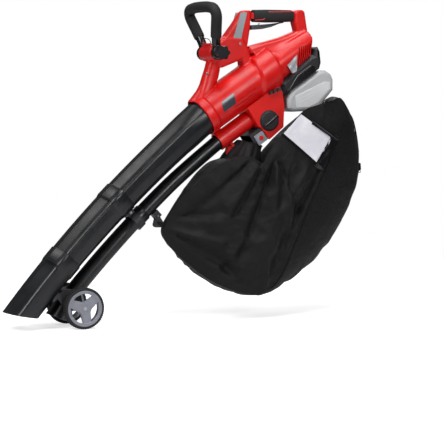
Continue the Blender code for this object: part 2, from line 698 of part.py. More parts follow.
def make_clip(root):
    """Clamp round the blower tube's joint, with a saddle under the suction tube."""
    at = BLOWER_JOINT - 0.006
    low, high = at - 0.011, at + 0.011
    collar = solid_loft([tube_ring(d, BLOWER_DROP, 0.0300, 0.0275, 2.0, 20) for d in (low, high)])
    clip = finish("tube_clip", collar, "black", root)
    h = suction_half(at)[1] + TUBE_WALL + 0.002
    corners = []
    for d, drop in ((low, h), (high, h), (high, BLOWER_DROP), (low, BLOWER_DROP)):
        corners.append(tube_point(d, drop))
    combine(clip, extruded(corners, -0.016, 0.016), "UNION")
    combine(clip, solid_loft(blower_lower_rings(GAP)))
    screw = tube_point(at, (h + BLOWER_DROP - 0.0275) / 2)
    finish("clip_screw", turned([(-0.0165 - 0.003, 0.0), (-0.0165 - 0.003, 0.0040),
                                 (-0.0165, 0.0040), (-0.0165, 0.0)], "Y", 16,
                                (screw[0], 0.0, screw[1])), "steel", root)


def wheel_centre():
    return tube_point(AXLE_STATION, AXLE_DROP)


def make_axle(root):
    axle = wheel_centre()
    blower = tube_point(AXLE_STATION, BLOWER_DROP)
    tongue = tube_point(AXLE_STATION, suction_half(AXLE_STATION)[1] + 0.008)
    outline = hull(circle(blower, 0.0285, 20) + circle(axle, 0.0100, 16) + circle(tongue, 0.006, 12))
    bracket = finish("axle_bracket", extruded(outline, -0.034, 0.034), "black", root)
    combine(bracket, extruded(circle(axle, 0.0098, 16), -0.0545, 0.0545), "UNION")
    combine(bracket, solid_loft(blower_lower_rings(GAP)))
    combine(bracket, extruded(circle(axle, AXLE_RADIUS + GAP, 16), -0.07, 0.07))
    half = WHEEL_TRACK / 2 + 0.0125
    finish("axle", turned([(-half, 0.0), (-half, AXLE_RADIUS), (half, AXLE_RADIUS), (half, 0.0)],
                          "Y", 16), "steel", root, (axle[0], 0.0, axle[1]))


def make_wheels(root):
    axle = wheel_centre()
    half = WHEEL_WIDTH / 2
    web, lip = RIM_RADIUS - 0.011, RIM_RADIUS - 0.009
    rim_profile = [(-0.010, AXLE_RADIUS + GAP), (-0.010, 0.014), (-0.004, 0.017), (-0.004, web),
                   (-half + 0.001, lip), (-half + 0.001, RIM_RADIUS), (half - 0.001, RIM_RADIUS),
                   (half - 0.001, lip), (0.004, web), (0.004, 0.017), (0.010, 0.014),
                   (0.010, AXLE_RADIUS + GAP)]
    inner = RIM_RADIUS + GAP
    tyre_profile = [(-half, inner), (-half, WHEEL_RADIUS - 0.003), (-half + 0.004, WHEEL_RADIUS),
                    (half - 0.004, WHEEL_RADIUS), (half, WHEEL_RADIUS - 0.003), (half, inner)]
    for side, tag in ((-1, "left"), (1, "right")):
        hub = empty(f"wheel_axis_{tag}", root, (axle[0], side * WHEEL_TRACK / 2, axle[1]))
        rim = finish(f"rim_{tag}", turned(rim_profile, "Y", 30), "rim", hub)
        for k in range(3):
            middle = 90.0 + 120.0 * k + 20.0
            reach = web - 0.002
            window = [(reach * math.cos(math.radians(middle + a)),
                       reach * math.sin(math.radians(middle + a))) for a in (-44, -22, 0, 22, 44)]
            window += [(0.021 * math.cos(math.radians(middle + a)),
                        0.021 * math.sin(math.radians(middle + a))) for a in (12, -12)]
            combine(rim, extruded(window, -0.02, 0.02))
        finish(f"tyre_{tag}", turned(tyre_profile, "Y", 32), "rubber", hub)
        face = side * (half + 0.001)
        finish(f"wheel_cap_{tag}", turned([(face, 0.0), (face, 0.009), (face + side * 0.003, 0.009),
                                           (face + side * 0.005, 0.006), (face + side * 0.005, 0.0)],
                                          "Y", 20), "steel", hub)


# ---- rear grip and trigger ------------------------------------------------------------
def make_grip(root):
    low, high = GRIP_Z - GRIP_HEIGHT / 2, GRIP_Z + GRIP_HEIGHT / 2
    half = GRIP_WIDTH / 2
    x0, x1 = GRIP_X[0], GRIP_X[1] - 0.012

    def ring(x, w, h, power):
        points = []
        for k in range(20):
            a = 2 * math.pi * (k + 0.5) / 20
            c, d = math.cos(a), math.sin(a)
            points.append((x, w * math.copysign(abs(c) ** (2 / power), c),
                           GRIP_Z + h * math.copysign(abs(d) ** (2 / power), d)))
        return points

    stations = [x0, x0 + 0.03, (x0 + x1) / 2, x1 - 0.03, x1]
    swell = [0.0, 0.001, 0.0, 0.001, 0.0]
    outer = [ring(x, half + s, GRIP_HEIGHT / 2, 3.0) for x, s in zip(stations, swell)]
    sleeve = finish("rear_grip", solid_loft(outer), "rubber", root)
    core = GRIP_WIDTH / 2 - GRIP_WALL
    combine(sleeve, box((x0 - 0.01, x1 + 0.01), (-core, core), (low + GRIP_WALL, high - GRIP_WALL)))
    pivot = (0.182, low + 0.0022)
    combine(sleeve, box((pivot[0] - 0.012, pivot[0] + 0.006), (-0.0098, 0.0098), (low - 0.01, low + 0.0052)))
    combine(sleeve, turned([(-0.0135, 0.0), (-0.0135, 0.0013), (0.0135, 0.0013), (0.0135, 0.0)],
                           "Y", 12, (pivot[0], 0.0, pivot[1])))
    finish("trigger_pin", turned([(-0.0132, 0.0), (-0.0132, 0.0010), (0.0132, 0.0010), (0.0132, 0.0)],
                                 "Y", 12, (pivot[0], 0.0, pivot[1])), "steel", root)
    base = empty("trigger_axis", root, (pivot[0], 0.0, pivot[1]))
    lever = [(-0.098, -0.0195), (-0.095, -0.0235), (-0.088, -0.0235), (-0.050, -0.0125),
             (0.0, -0.0030), (0.0035, -0.0010), (0.0020, 0.0024), (-0.0040, 0.0024),
             (-0.010, -0.0035), (-0.050, -0.0085), (-0.092, -0.0150), (-0.097, -0.0160)]
    trigger = finish("trigger", extruded(lever, -0.0090, 0.0090), "grey", base)
    combine(trigger, extruded(circle((0.0, 0.0), 0.0013, 12), -0.02, 0.02))
    spring = []
    turns, radius, foot = 3, 0.0032, low - 0.0082
    for k in range(turns * 12 + 1):
        a = 2 * math.pi * k / 12
        spring.append((0.112 + radius * math.cos(a), radius * math.sin(a), foot + 0.0074 * k / (turns * 12)))
    finish("trigger_spring", swept(spring, 0.0004, 6), "steel", root)
    finish("trigger_switch", box((0.0592, 0.0760), (-0.0070, 0.0070), (0.7995, 0.8155)), "black", root)


# ---- bail handle ----------------------------------------------------------------------
def bail_path():
    """Centre line of the bail as (y, height) from the near leg to the far one."""
    top, wide = BAIL_HEIGHT, BAIL_TOP_HALF
    half = [(-BAIL_LEG_Y, 0.004), (-BAIL_LEG_Y, 0.027), (-wide + 0.024, 0.062),
            (-wide + 0.006, top - 0.038), (-wide, top - 0.025), (-wide + 0.002, top - 0.015),
            (-wide + 0.011, top - 0.008), (-wide + 0.028, top - 0.004), (-0.030, top - 0.001)]
    return half + [(-y, h) for y, h in half[::-1]]


def bail_points(path):
    lean = math.radians(BAIL_LEAN)
    return [(-h * math.sin(lean), y, h * math.cos(lean)) for y, h in path]


def make_bail(root):
    base = empty("bail_axis", root, (PIVOT[0], 0.0, PIVOT[1]))
    bail = finish("bail_handle", swept(bail_points(bail_path()), BAIL_RADIUS, 12), "black", base)
    for side in (-1, 1):
        inner = side * (HEAD_HALF_WIDTH + 2 * GAP)
        limits = sorted((inner, inner + side * BAIL_HUB_WIDTH))
        combine(bail, extruded(circle((0.0, 0.0), BAIL_HUB_RADIUS, 28), *limits), "UNION")
        inside = sorted((0.0, side * (HEAD_HALF_WIDTH + 2 * GAP)))
        combine(bail, extruded(circle((0.0, 0.0), HEAD_RADIUS + 0.006, 24), *inside))
    combine(bail, extruded(circle((0.0, 0.0), BOLT_RADIUS + GAP, 16), -0.07, 0.07))
    top = [(y, h) for y, h in bail_path() if h > BAIL_HEIGHT - 0.006]
    finish("bail_grip", swept(bail_points(top), BAIL_GRIP_RADIUS, 12, inner=BAIL_RADIUS + 3 * GAP),
           "rubber", base)
    outer = HEAD_HALF_WIDTH + BAIL_HUB_WIDTH + 2 * GAP
    finish("clamp_bolt", turned([(-outer, 0.0), (-outer, BOLT_RADIUS), (outer, BOLT_RADIUS),
                                 (outer, 0.0)], "Y", 16), "steel", root, (PIVOT[0], 0.0, PIVOT[1]))
    knob = empty("knob_axis", root, (PIVOT[0], 0.0, PIVOT[1]))
    lobes = []
    for k in range(36):
        a = 2 * math.pi * k / 36
        r = 0.0180 + 0.0022 * math.cos(6 * a)
        lobes.append((r * math.cos(a), r * math.sin(a)))
    face = -outer - GAP
    finish("clamp_knob", extruded(lobes, face - 0.022, face), "black", knob)
    finish("clamp_cap", turned([(-face, 0.0), (-face, 0.011), (-face + 0.006, 0.009),
                                (-face + 0.006, 0.0)], "Y", 20), "black", base)
    ring = empty("ring_axis", axis_child(root), (0.0, 0.0, 0.0))
    loop = [(0.0, y, 0.0) for y in (-0.024, -0.012, 0.0, 0.012, 0.024)]
    for k in range(9):
        a = math.pi * k / 8
        loop.append((-0.004 * math.sin(a), 0.026 * math.cos(a), 0.003 + 0.016 * math.sin(a)))
    finish("strap_ring", swept(loop, 0.0012, 8, closed=True), "steel", ring)


def axis_child(root):
    """Empty on the strap ring's hinge."""
    x, z = from_axis(*ring_ear())
    return empty("ring_seat", root, (x, 0.0, z))


# ---- battery --------------------------------------------------------------------------
def make_battery(axis_frame):
    front, top = BATTERY_FRONT, BATTERY_TOP
    back, base = front + BATTERY_LENGTH, top - BATTERY_HEIGHT
    half = FOOT_WIDTH / 2
    start = BARREL_LENGTH + DRUM_LENGTH + 0.001
    rise = 0.0175                   # height of the pack's rear hump
    foot = finish("battery_foot", extruded([(start, -0.030), (start, top + GAP), (front + 0.068, top + GAP),
                                            (front + 0.074, top + rise + GAP),
                                            (back - 0.002, top + rise + GAP), (back - 0.004, -0.030)],
                                           -half, half), "black", axis_frame)
    combine(foot, turned(housing_profile(GAP), "X", 36))
    slide = empty("battery_slide", axis_frame)
    w = BATTERY_WIDTH / 2
    pack = [(front, top), (front, base + 0.010), (front + 0.008, base), (back - 0.008, base),
            (back, base + 0.008), (back, top + rise - 0.006), (back - 0.006, top + rise - GAP),
            (front + 0.076, top + rise - GAP), (front + 0.070, top)]
    case = finish("battery_case", extruded(pack, -w, w), "cover", slide)
    combine(case, box((front + 0.004, back - 0.010), (-w + 0.003, w - 0.003), (base + 0.003, top - 0.003)))
    combine(case, box((front + 0.020, front + 0.050), (-0.020, 0.020), (top - 0.006, top + 0.01)))
    finish("cell_block", box((front + 0.006, back - 0.012), (-w + 0.005, w - 0.005),
                             (base + 0.004, top - 0.007)), "grey", slide)
    wide, low, high = LATCH_HALF_WIDTH, top - 0.022, top - 0.006
    combine(case, box((back - LATCH_DEPTH - LATCH_TRAVEL - 0.0015, back + 0.01), (-wide - GAP, wide + GAP),
                      (low - GAP, high + GAP)))
    latch = empty("battery_latch_axis", slide)
    finish("battery_latch", box((back - LATCH_DEPTH, back + LATCH_PROUD), (-wide, wide), (low, high)),
           "red", latch)


# ---- bag ------------------------------------------------------------------------------
def make_adaptor(axis_frame):
    s, y, t = (0.066, 0.1035), 0.0345, (-0.152, -0.1135)
    adaptor = finish("bag_adaptor", box(s, (-y, y), t), "black", axis_frame)
    wall = 0.003
    combine(adaptor, box((s[0] - 0.01, s[1] + 0.01), (-y + wall, y - wall), (t[0] + wall, t[1] - wall)))
    plate = finish("latch_plate", box((0.074, 0.1035), (-y - 0.0048, -y - GAP), (-0.152, -0.123)),
                   "grey", axis_frame)
    at = (0.0900, -0.137)
    combine(plate, extruded(circle(at, BUTTON_RADIUS + GAP, 20), -0.06, -y))
    press = empty("bag_button_axis", axis_frame)
    finish("bag_button", extruded(circle(at, BUTTON_RADIUS, 20), -y - 0.0075, -y - 0.0032), "red", press)


def make_hooks(root):
    at = 0.292
    top = blower_drop(at) + blower_half(at)[1] + 0.0006
    low, high = at - 0.010, at + 0.010
    corners = [tube_point(low, top), tube_point(high, top), tube_point(high, top + 0.020),
               tube_point(low, top + 0.020)]
    hook = finish("front_hook", extruded(corners, -0.010, 0.010), "black", root)
    slot = [tube_point(low - 0.01, top + 0.008), tube_point(high + 0.01, top + 0.008),
            tube_point(high + 0.01, top + 0.03), tube_point(low - 0.01, top + 0.03)]
    combine(hook, extruded(slot, -0.0045, 0.0045))
    pin = tube_point(at, top + 0.0145)
    combine(hook, extruded(circle(pin, 0.0023, 12), -0.02, 0.02))
    finish("hook_pin", extruded(circle(pin, 0.0020, 12), -0.0105, 0.0105), "steel", root)
    plate = hull(circle(pin, 0.0055, 16) + circle((pin[0] - 0.004, pin[1] - 0.024), 0.0075, 16)
                 + circle((pin[0] + 0.016, pin[1] - 0.026), 0.006, 12))
    buckle = finish("front_buckle", extruded(plate, -0.0035, 0.0035), "black", root)
    combine(buckle, extruded(circle(pin, 0.0026, 12), -0.02, 0.02))
    rear = [(0.2590, 0.757), (0.2660, 0.757), (0.2730, 0.748), (0.2740, 0.737), (0.2690, 0.731),
            (0.2625, 0.733), (0.2625, 0.737), (0.2670, 0.736), (0.2690, 0.739), (0.2680, 0.745),
            (0.2640, 0.749), (0.2590, 0.749)]
    finish("rear_hook", extruded(rear, -0.008, 0.008), "black", root)


BAG_OUTLINE = [(-0.168, 0.246), (-0.142, 0.302), (-0.096, 0.374), (-0.030, 0.424), (0.024, 0.444),
               (0.054, 0.476), (0.084, 0.462), (0.110, 0.440), (0.146, 0.478), (0.186, 0.507),
               (0.256, 0.558), (0.326, 0.606), (0.352, 0.606), (0.416, 0.550), (0.433, 0.431),
               (0.427, 0.346), (0.385, 0.233), (0.337, 0.164), (0.258, 0.110), (0.132, 0.066),
               (0.086, 0.060), (0.040, 0.065), (-0.051, 0.105), (-0.141, 0.197)]
BAG_MIDDLE = (0.130, 0.280)


def make_bag(root):
    layers = [(-1.0, 0.45), (-0.93, 0.68), (-0.72, 0.86), (-0.40, 0.96), (0.0, 1.0),
              (0.40, 0.96), (0.72, 0.86), (0.93, 0.68), (1.0, 0.45)]
    rings = []
    for share, size in layers:
        rings.append([(BAG_MIDDLE[0] + (x - BAG_MIDDLE[0]) * size, share * BAG_HALF_WIDTH,
                       BAG_MIDDLE[1] + (z - BAG_MIDDLE[1]) * size) for x, z in BAG_OUTLINE])
    finish("leaf_bag", solid_loft(rings), "fabric", root, sharp=50.0)
    path = [(0.2680, 0.000, 0.7270), (0.2780, 0.009, 0.7200), (0.288, 0.034, 0.7140),
            (0.296, 0.054, 0.701), (0.308, 0.062, 0.681), (0.322, 0.063, 0.655), (0.332, 0.062, 0.630),
            (0.338, 0.059, 0.604)]
    rings = []
    for i, point in enumerate(path):
        p = Vector(point)
        before, after = Vector(path[max(i - 1, 0)]), Vector(path[min(i + 1, len(path) - 1)])
        tangent = (after - before).normalized()
        turn = min(i / 3, 1.0)
        across = Vector((0.84 * turn, 1.0 - turn, 0.55 * turn))
        across = (across - tangent * across.dot(tangent)).normalized()
        normal = tangent.cross(across)
        a, b = across * STRAP_WIDTH / 2, normal * STRAP_THICKNESS / 2
        rings.append([p - a - b, p + a - b, p + a + b, p - a + b])
    webbing = solid_loft(rings)
    bmesh.ops.triangulate(webbing, faces=webbing.faces)
    finish("bag_strap", webbing, "fabric", root)


# ---- assembly -------------------------------------------------------------------------
def build():
    for old in list(bpy.data.objects):
        bpy.data.objects.remove(old, do_unlink=True)
    LOOKS.update({
        "red": material("red_abs", (0.72, 0.012, 0.010), 0.35),
        "black": material("black_abs", (0.02, 0.02, 0.022), 0.5),
        "tube": material("black_tube", (0.014, 0.015, 0.017), 0.35),
        "rubber": material("rubber", (0.018, 0.018, 0.02), 0.75),
        "grey": material("dark_grey_abs", (0.12, 0.125, 0.13), 0.45),
        "rim": material("silver_abs", (0.42, 0.43, 0.47), 0.4),
        "silver": material("silver_insert", (0.45, 0.48, 0.50), 0.35),
        "steel": material("steel", (0.6, 0.6, 0.62), 0.3, 1.0),
        "cover": material("pale_cover", (0.68, 0.68, 0.67), 0.4),
        "board": material("circuit_board", (0.02, 0.16, 0.05), 0.5),
        "fabric": material("black_fabric", (0.012, 0.012, 0.013), 0.9),
    })
    root = empty("machine", None, (ORIGIN_SHIFT, 0.0, WHEEL_RADIUS - wheel_centre()[1]))
    axis_frame = empty("fan_axis", root, (BARREL_FRONT[0], 0.0, BARREL_FRONT[1]), FAN_AXIS_ANGLE)
    make_housing(axis_frame)
    make_motor(axis_frame)
    make_selector(axis_frame)
    make_suction_tube(root)
    make_blower_tube(root)
    make_clip(root)
    make_axle(root)
    make_wheels(root)
    make_grip(root)
    make_bail(root)
    make_battery(axis_frame)
    make_adaptor(axis_frame)
    make_hooks(root)
    make_bag(root)


LOOKS = {}
build()
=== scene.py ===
import bpy
import bmesh
import math
import numpy as np
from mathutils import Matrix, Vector, noise


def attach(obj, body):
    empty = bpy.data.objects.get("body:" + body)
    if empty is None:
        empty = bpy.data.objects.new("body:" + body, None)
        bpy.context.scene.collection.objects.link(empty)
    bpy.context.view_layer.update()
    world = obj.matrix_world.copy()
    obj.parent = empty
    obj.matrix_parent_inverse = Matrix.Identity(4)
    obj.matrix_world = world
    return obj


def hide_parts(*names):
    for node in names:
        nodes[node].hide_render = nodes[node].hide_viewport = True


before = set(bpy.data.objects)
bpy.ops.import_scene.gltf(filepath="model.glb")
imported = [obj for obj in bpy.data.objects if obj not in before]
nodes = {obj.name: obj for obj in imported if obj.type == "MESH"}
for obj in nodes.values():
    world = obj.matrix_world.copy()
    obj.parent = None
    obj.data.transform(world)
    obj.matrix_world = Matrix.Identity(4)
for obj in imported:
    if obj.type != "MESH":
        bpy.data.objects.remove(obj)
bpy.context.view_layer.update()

# where the machine's side view sits in the frame, metres and degrees
machine = {
    "shiftX": 0.0978,            # side-view x to frame x
    "lift": -0.0042,             # side-view z to frame z
    "fanSlope": 33.2,            # slope of the barrel's axis
    "barrelFront": (-0.05, 0.565),
    "tubeSlopes": (38.0, 50.5),  # slope of the tube at the barrel and at the nozzle
    "tubeLength": 0.75,
}


def place(x, z, y=0.0):
    return Vector((x + machine["shiftX"], y, z + machine["lift"]))


def alongFan(s, t, y=0.0):
    slope = math.radians(machine["fanSlope"])
    x0, z0 = machine["barrelFront"]
    return place(x0 + s * math.cos(slope) - t * math.sin(slope),
                 z0 + s * math.sin(slope) + t * math.cos(slope), y)


def tubeSlope(d):
    first, last = machine["tubeSlopes"]
    return math.radians(first + d / machine["tubeLength"] * (last - first))


def alongTube(d, drop=0.0, y=0.0):
    first, last = machine["tubeSlopes"]
    bend = machine["tubeLength"] / math.radians(last - first)
    start, now = tubeSlope(0.0), tubeSlope(d)
    x = machine["barrelFront"][0] - bend * (math.sin(now) - math.sin(start))
    z = machine["barrelFront"][1] + bend * (math.cos(now) - math.cos(start))
    return place(x + drop * math.sin(now), z - drop * math.cos(now), y)


# materials
def toLinear(hexColour):
    parts = [int(hexColour[i:i + 2], 16) / 255 for i in (1, 3, 5)]
    return tuple(c / 12.92 if c <= 0.04045 else ((c + 0.055) / 1.055) ** 2.4 for c in parts) + (1.0,)


def addNode(tree, kind, inputs=None, **settings):
    made = tree.nodes.new("ShaderNode" + kind)
    for key, value in settings.items():
        setattr(made, key, value)
    for key, value in (inputs or {}).items():
        if isinstance(value, tuple) and isinstance(value[0], bpy.types.Node):
            tree.links.new(value[0].outputs[value[1]], made.inputs[key])
        else:
            made.inputs[key].default_value = value
    return made


def newMaterial(name, **shaderInputs):
    made = bpy.data.materials.new(name)
    made.use_nodes = True
    tree = made.node_tree
    shader = tree.nodes["Principled BSDF"]
    for key, value in shaderInputs.items():
        shader.inputs[key.replace("_", " ")].default_value = value
    where = addNode(tree, "TexCoord")
    return made, tree, shader, where


def mouldedPlastic(name, colour, worn, roughness, grain=0.4, depth=0.05, spread=0.05, ior=1.5, tone=0.06):
    # grain is the spark-eroded mould texture in mm, depth its height in mm
    made, tree, shader, where = newMaterial(name, Roughness=roughness, IOR=ior)
    grit = addNode(tree, "TexNoise", {"Vector": (where, "Object"), "Scale": 1000 / grain, "Detail": 2.0})
    bump = addNode(tree, "Bump", {"Height": (grit, "Fac"), "Distance": depth / 1000, "Strength": 0.6})
    cloud = addNode(tree, "TexNoise", {"Vector": (where, "Object"), "Scale": 28.0, "Detail": 4.0,
                                       "Roughness": 0.6})
    gloss = addNode(tree, "MapRange", {"Value": (cloud, "Fac"), "From Min": 0.3, "From Max": 0.7,
                                       "To Min": roughness - spread, "To Max": roughness + spread})
    light = tuple(min(c * (1 + tone), 1.0) for c in toLinear(colour)[:3]) + (1.0,)
    dark = tuple(c * (1 - tone) for c in toLinear(colour)[:3]) + (1.0,)
    shade = addNode(tree, "Mix", {0: (cloud, "Fac"), 6: dark, 7: light}, data_type="RGBA")
    edge = addNode(tree, "NewGeometry")
    rub = addNode(tree, "MapRange", {"Value": (edge, "Pointiness"), "From Min": 0.53, "From Max": 0.62,
                                     "To Min": 0.0, "To Max": 0.35})
    coat = addNode(tree, "Mix", {0: (rub, "Result"), 6: (shade, 2), 7: toLinear(worn)}, data_type="RGBA")
    tree.links.new(coat.outputs[2], shader.inputs["Base Color"])
    tree.links.new(gloss.outputs["Result"], shader.inputs["Roughness"])
    tree.links.new(bump.outputs["Normal"], shader.inputs["Normal"])
    return made


def metalFinish(name, colour, roughness, scratch=0.15, along=(1.0, 1.0, 1.0)):
    # scratch is the spacing of the drawing or turning lines in mm
    made, tree, shader, where = newMaterial(name, Roughness=roughness, Metallic=1.0)
    shader.inputs["Base Color"].default_value = toLinear(colour)
    stretch = addNode(tree, "Mapping", {"Vector": (where, "Object"), "Scale": along})
    lines = addNode(tree, "TexNoise", {"Vector": (stretch, "Vector"), "Scale": 1000 / scratch / 4, "Detail": 3.0})
    gloss = addNode(tree, "MapRange", {"Value": (lines, "Fac"), "To Min": roughness - 0.08,
                                       "To Max": roughness + 0.12})
    bump = addNode(tree, "Bump", {"Height": (lines, "Fac"), "Distance": 0.00003, "Strength": 0.4})
    tree.links.new(gloss.outputs["Result"], shader.inputs["Roughness"])
    tree.links.new(bump.outputs["Normal"], shader.inputs["Normal"])
    return made


def wovenCloth(name, colour, lighter, thread, roughness, crease=0.0):
    # thread is the spacing of the weave in mm; the crease adds soft crumpling of about 25 mm
    made, tree, shader, where = newMaterial(name, Roughness=roughness, IOR=1.5)
    shader.inputs["Specular IOR Level"].default_value = 0.2
    shader.inputs["Sheen Weight"].default_value = 0.02
    shader.inputs["Sheen Roughness"].default_value = 0.5
    warp = addNode(tree, "TexWave", {"Vector": (where, "Object"), "Scale": 1000 / thread / 6.28,
                                     "Distortion": 0.6, "Detail": 1.0}, bands_direction="X")
    weft = addNode(tree, "TexWave", {"Vector": (where, "Object"), "Scale": 1000 / thread / 6.28,
                                     "Distortion": 0.6, "Detail": 1.0}, bands_direction="Z")
    weave = addNode(tree, "Math", {0: (warp, "Fac"), 1: (weft, "Fac")}, operation="ADD")
    bump = addNode(tree, "Bump", {"Height": (weave, 0), "Distance": 0.00012, "Strength": 0.5})
    rumple = addNode(tree, "TexNoise", {"Vector": (where, "Object"), "Scale": 26.0, "Detail": 4.0,
                                        "Roughness": 0.55, "Distortion": 0.8})
    fold = addNode(tree, "Bump", {"Height": (rumple, "Fac"), "Distance": crease, "Strength": 0.8,
                                  "Normal": (bump, "Normal")})
    haze = addNode(tree, "TexNoise", {"Vector": (where, "Object"), "Scale": 9.0, "Detail": 4.0})
    shade = addNode(tree, "Mix", {0: (haze, "Fac"), 6: toLinear(colour), 7: toLinear(lighter)},
                    data_type="RGBA")
    tree.links.new(shade.outputs[2], shader.inputs["Base Color"])
    tree.links.new(fold.outputs["Normal"], shader.inputs["Normal"])
    return made


def vinylWithPaintedReflection():
    # clear vinyl window: glossy; its base colour carries painted reflection, soft lavender-grey to white ripples
    # that stand in for the reflected room
    made, tree, shader, where = newMaterial("clearVinylPaintedReflection", Roughness=0.07, IOR=1.5)
    shader.inputs["Coat Weight"].default_value = 0.6
    shader.inputs["Coat Roughness"].default_value = 0.03
    wave = addNode(tree, "TexNoise", {"Vector": (where, "Object"), "Scale": 22.0, "Detail": 3.0, "Distortion": 0.9})
    # painted reflection: noise ripples from lavender grey to white painted into the base colour
    tone = addNode(tree, "Mix", {0: (wave, "Fac"), 6: toLinear("#d5d2e2"), 7: toLinear("#ffffff")},
                   data_type="RGBA")
    bump = addNode(tree, "Bump", {"Height": (wave, "Fac"), "Distance": 0.0022, "Strength": 0.7})
    tree.links.new(tone.outputs[2], shader.inputs["Base Color"])
    tree.links.new(bump.outputs["Normal"], shader.inputs["Normal"])
    return made


# moulded ABS in signal red: even colour, satin mould texture, paler on worn edges
redAbs = mouldedPlastic("mouldedRedAbs", "#d90806", "#ea2c22", 0.36, grain=0.5, depth=0.03)
# glass-filled nylon: near-black with a dry, coarse texture
blackNylon = mouldedPlastic("texturedBlackNylon", "#1b1b1e", "#3a3a3e", 0.5, grain=0.7, depth=0.07)
# blow-moulded polypropylene: black with a soft, broad sheen
tubePolypropylene = mouldedPlastic("blowMouldedPolypropylene", "#0e1013", "#2a2d33", 0.33, grain=0.9,
                                   depth=0.03, spread=0.05)
# gloss ABS: black with sharp highlights, on the bail's legs and the knob
glossAbs = mouldedPlastic("polishedBlackAbs", "#121214", "#333338", 0.22, grain=0.6, depth=0.008)
# thermoplastic rubber overmould: dull black
softRubber = mouldedPlastic("overmouldedGripRubber", "#18181a", "#2c2c2f", 0.72, grain=0.9, depth=0.1)
# solid tyre rubber: dull, slightly dusty black
tyreRubber = mouldedPlastic("solidTyreRubber", "#1a1a1b", "#39393a", 0.8, grain=1.1, depth=0.1, tone=0.2)
# moulded grey ABS on the trigger and small inserts
greyAbs = mouldedPlastic("mouldedGreyAbs", "#43464c", "#6a6d72", 0.42, grain=0.6, depth=0.04)
# paler grey ABS of the latch plate
paleGreyAbs = mouldedPlastic("mouldedPaleGreyAbs", "#8c9098", "#aab0b6", 0.4, grain=0.6, depth=0.04)
# silver-pigmented ABS on the wheel rims: lavender grey, half matt
silverAbs = mouldedPlastic("silverPigmentedAbs", "#83858f", "#a6a8b2", 0.36, grain=0.5, depth=0.03)
# painted silver inserts: smooth, pale, half gloss
silverPaint = mouldedPlastic("silverPaintedInsert", "#8f969b", "#aeb4b8", 0.3, grain=0.3, depth=0.015)
# natural ABS of the battery pack: pale grey
packAbs = mouldedPlastic("paleBatteryAbs", "#b9bbbd", "#d4d6d8", 0.42, grain=0.5, depth=0.03)
# the pack's side panels, a step lighter, and their printed white bars
packLight = mouldedPlastic("paleBatteryPanelAbs", "#d9dadc", "#eceded", 0.38, grain=0.5, depth=0.03)
packWhite = mouldedPlastic("whitePrintedInk", "#dfe2e4", "#f2f3f4", 0.45, grain=1.0, depth=0.01)
# turned steel: grey metal with fine lines; drawn wire is a little brighter and smoother
turnedSteel = metalFinish("turnedZincSteel", "#b6b8bc", 0.28, along=(1.0, 6.0, 1.0))
springWire = metalFinish("drawnSpringWire", "#c4c6c9", 0.22, along=(1.0, 1.0, 6.0))
# stacked stator sheets: dull, banded grey
laminatedSteel = metalFinish("laminatedStatorSteel", "#77797d", 0.45, scratch=0.5, along=(6.0, 1.0, 1.0))
# glass epoxy board: satin green
circuitBoard = mouldedPlastic("epoxyCircuitBoard", "#1c5a2c", "#2b6b3a", 0.35, grain=2.0, depth=0.02)
# coated polyester of the bag: black, plain weave, faint sheen
bagPolyester = wovenCloth("wovenBagPolyester", "#0c0b0d", "#19181a", 1.2, 0.58, crease=0.0045)
# the gusset and bindings hang tighter, with less crumpling, and their colour is painted a step darker as painted
# shade
# painted shade: the same black weave, given a darker colour pair than the bag's own
paintedShadePolyester = wovenCloth("wovenPolyesterPaintedShade", "#080709", "#111012", 1.2, 0.66, crease=0.002)
# strap webbing: a coarser, flatter weave
webbing = wovenCloth("wovenWebbing", "#131315", "#26262a", 1.6, 0.6)
# calendered vinyl trim: black with a soft shine
vinylTrim = mouldedPlastic("calenderedBlackVinyl", "#101013", "#2c2c32", 0.13, grain=9.0, depth=0.2)
# printed films: a glossy dark one and a satin silver one
labelFilm = mouldedPlastic("printedPolycarbonateLabel", "#3b3f47", "#555a62", 0.22, grain=2.0, depth=0.01)
labelSilver = mouldedPlastic("silverPolyesterLabel", "#9c9fa3", "#b4b7ba", 0.28, grain=2.0, depth=0.01)
clearVinyl = vinylWithPaintedReflection()
# colour groups that can be changed together
slots = {redAbs: "red", tubePolypropylene: "tube", silverAbs: "rim", labelSilver: "silver", clearVinyl: "fabric",
         **dict.fromkeys((blackNylon, glossAbs), "black"), **dict.fromkeys((softRubber, tyreRubber), "rubber"),
         **dict.fromkeys((greyAbs, packAbs, packLight, packWhite, labelFilm), "grey"),
         **dict.fromkeys((turnedSteel, springWire), "steel"),
         **dict.fromkeys((bagPolyester, paintedShadePolyester, vinylTrim), "fabric")}
sideNames = {-1: "Near", 1: "Far"}


# mesh helpers
def makePiece(name, verts, faces, finish, body="machine", slotted=True, replaces=(), sharp=35.0, bevel=None):
    # sharp is the crease angle in degrees, bevel the width and steps of softened edges
    mesh = bpy.data.meshes.new(name)
    mesh.from_pydata([tuple(v) for v in verts], [], faces)
    clean = bmesh.new()
    clean.from_mesh(mesh)
    bmesh.ops.recalc_face_normals(clean, faces=clean.faces)
    clean.to_mesh(mesh)
    clean.free()
    mesh.materials.append(finish)
    mesh.shade_smooth()
    if sharp:
        mesh.set_sharp_from_angle(angle=math.radians(sharp))
    piece = bpy.data.objects.new(name, mesh)
    bpy.context.scene.collection.objects.link(piece)
    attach(piece, body)
    if replaces:
        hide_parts(*replaces)
    if bevel:
        bevelEdges(piece, *bevel)
    return piece


def joined(*parts):
    verts, faces = [], []
    for v, f in parts:
        base = len(verts)
        verts += [tuple(p) for p in v]
        faces += [tuple(i + base for i in face) for face in f]
    return verts, faces


def loft(rings, closed=False):
    # skin over rings of equal count, capped at both ends unless the last ring meets the first
    count, total = len(rings[0]), len(rings)
    faces = []
    for i in range(total if closed else total - 1):
        a, b = i * count, ((i + 1) % total) * count
        faces += [(a + k, a + (k + 1) % count, b + (k + 1) % count, b + k) for k in range(count)]
    if not closed:
        faces += [tuple(range(count))[::-1], tuple(range((total - 1) * count, total * count))]
    return [p for ring in rings for p in ring], faces


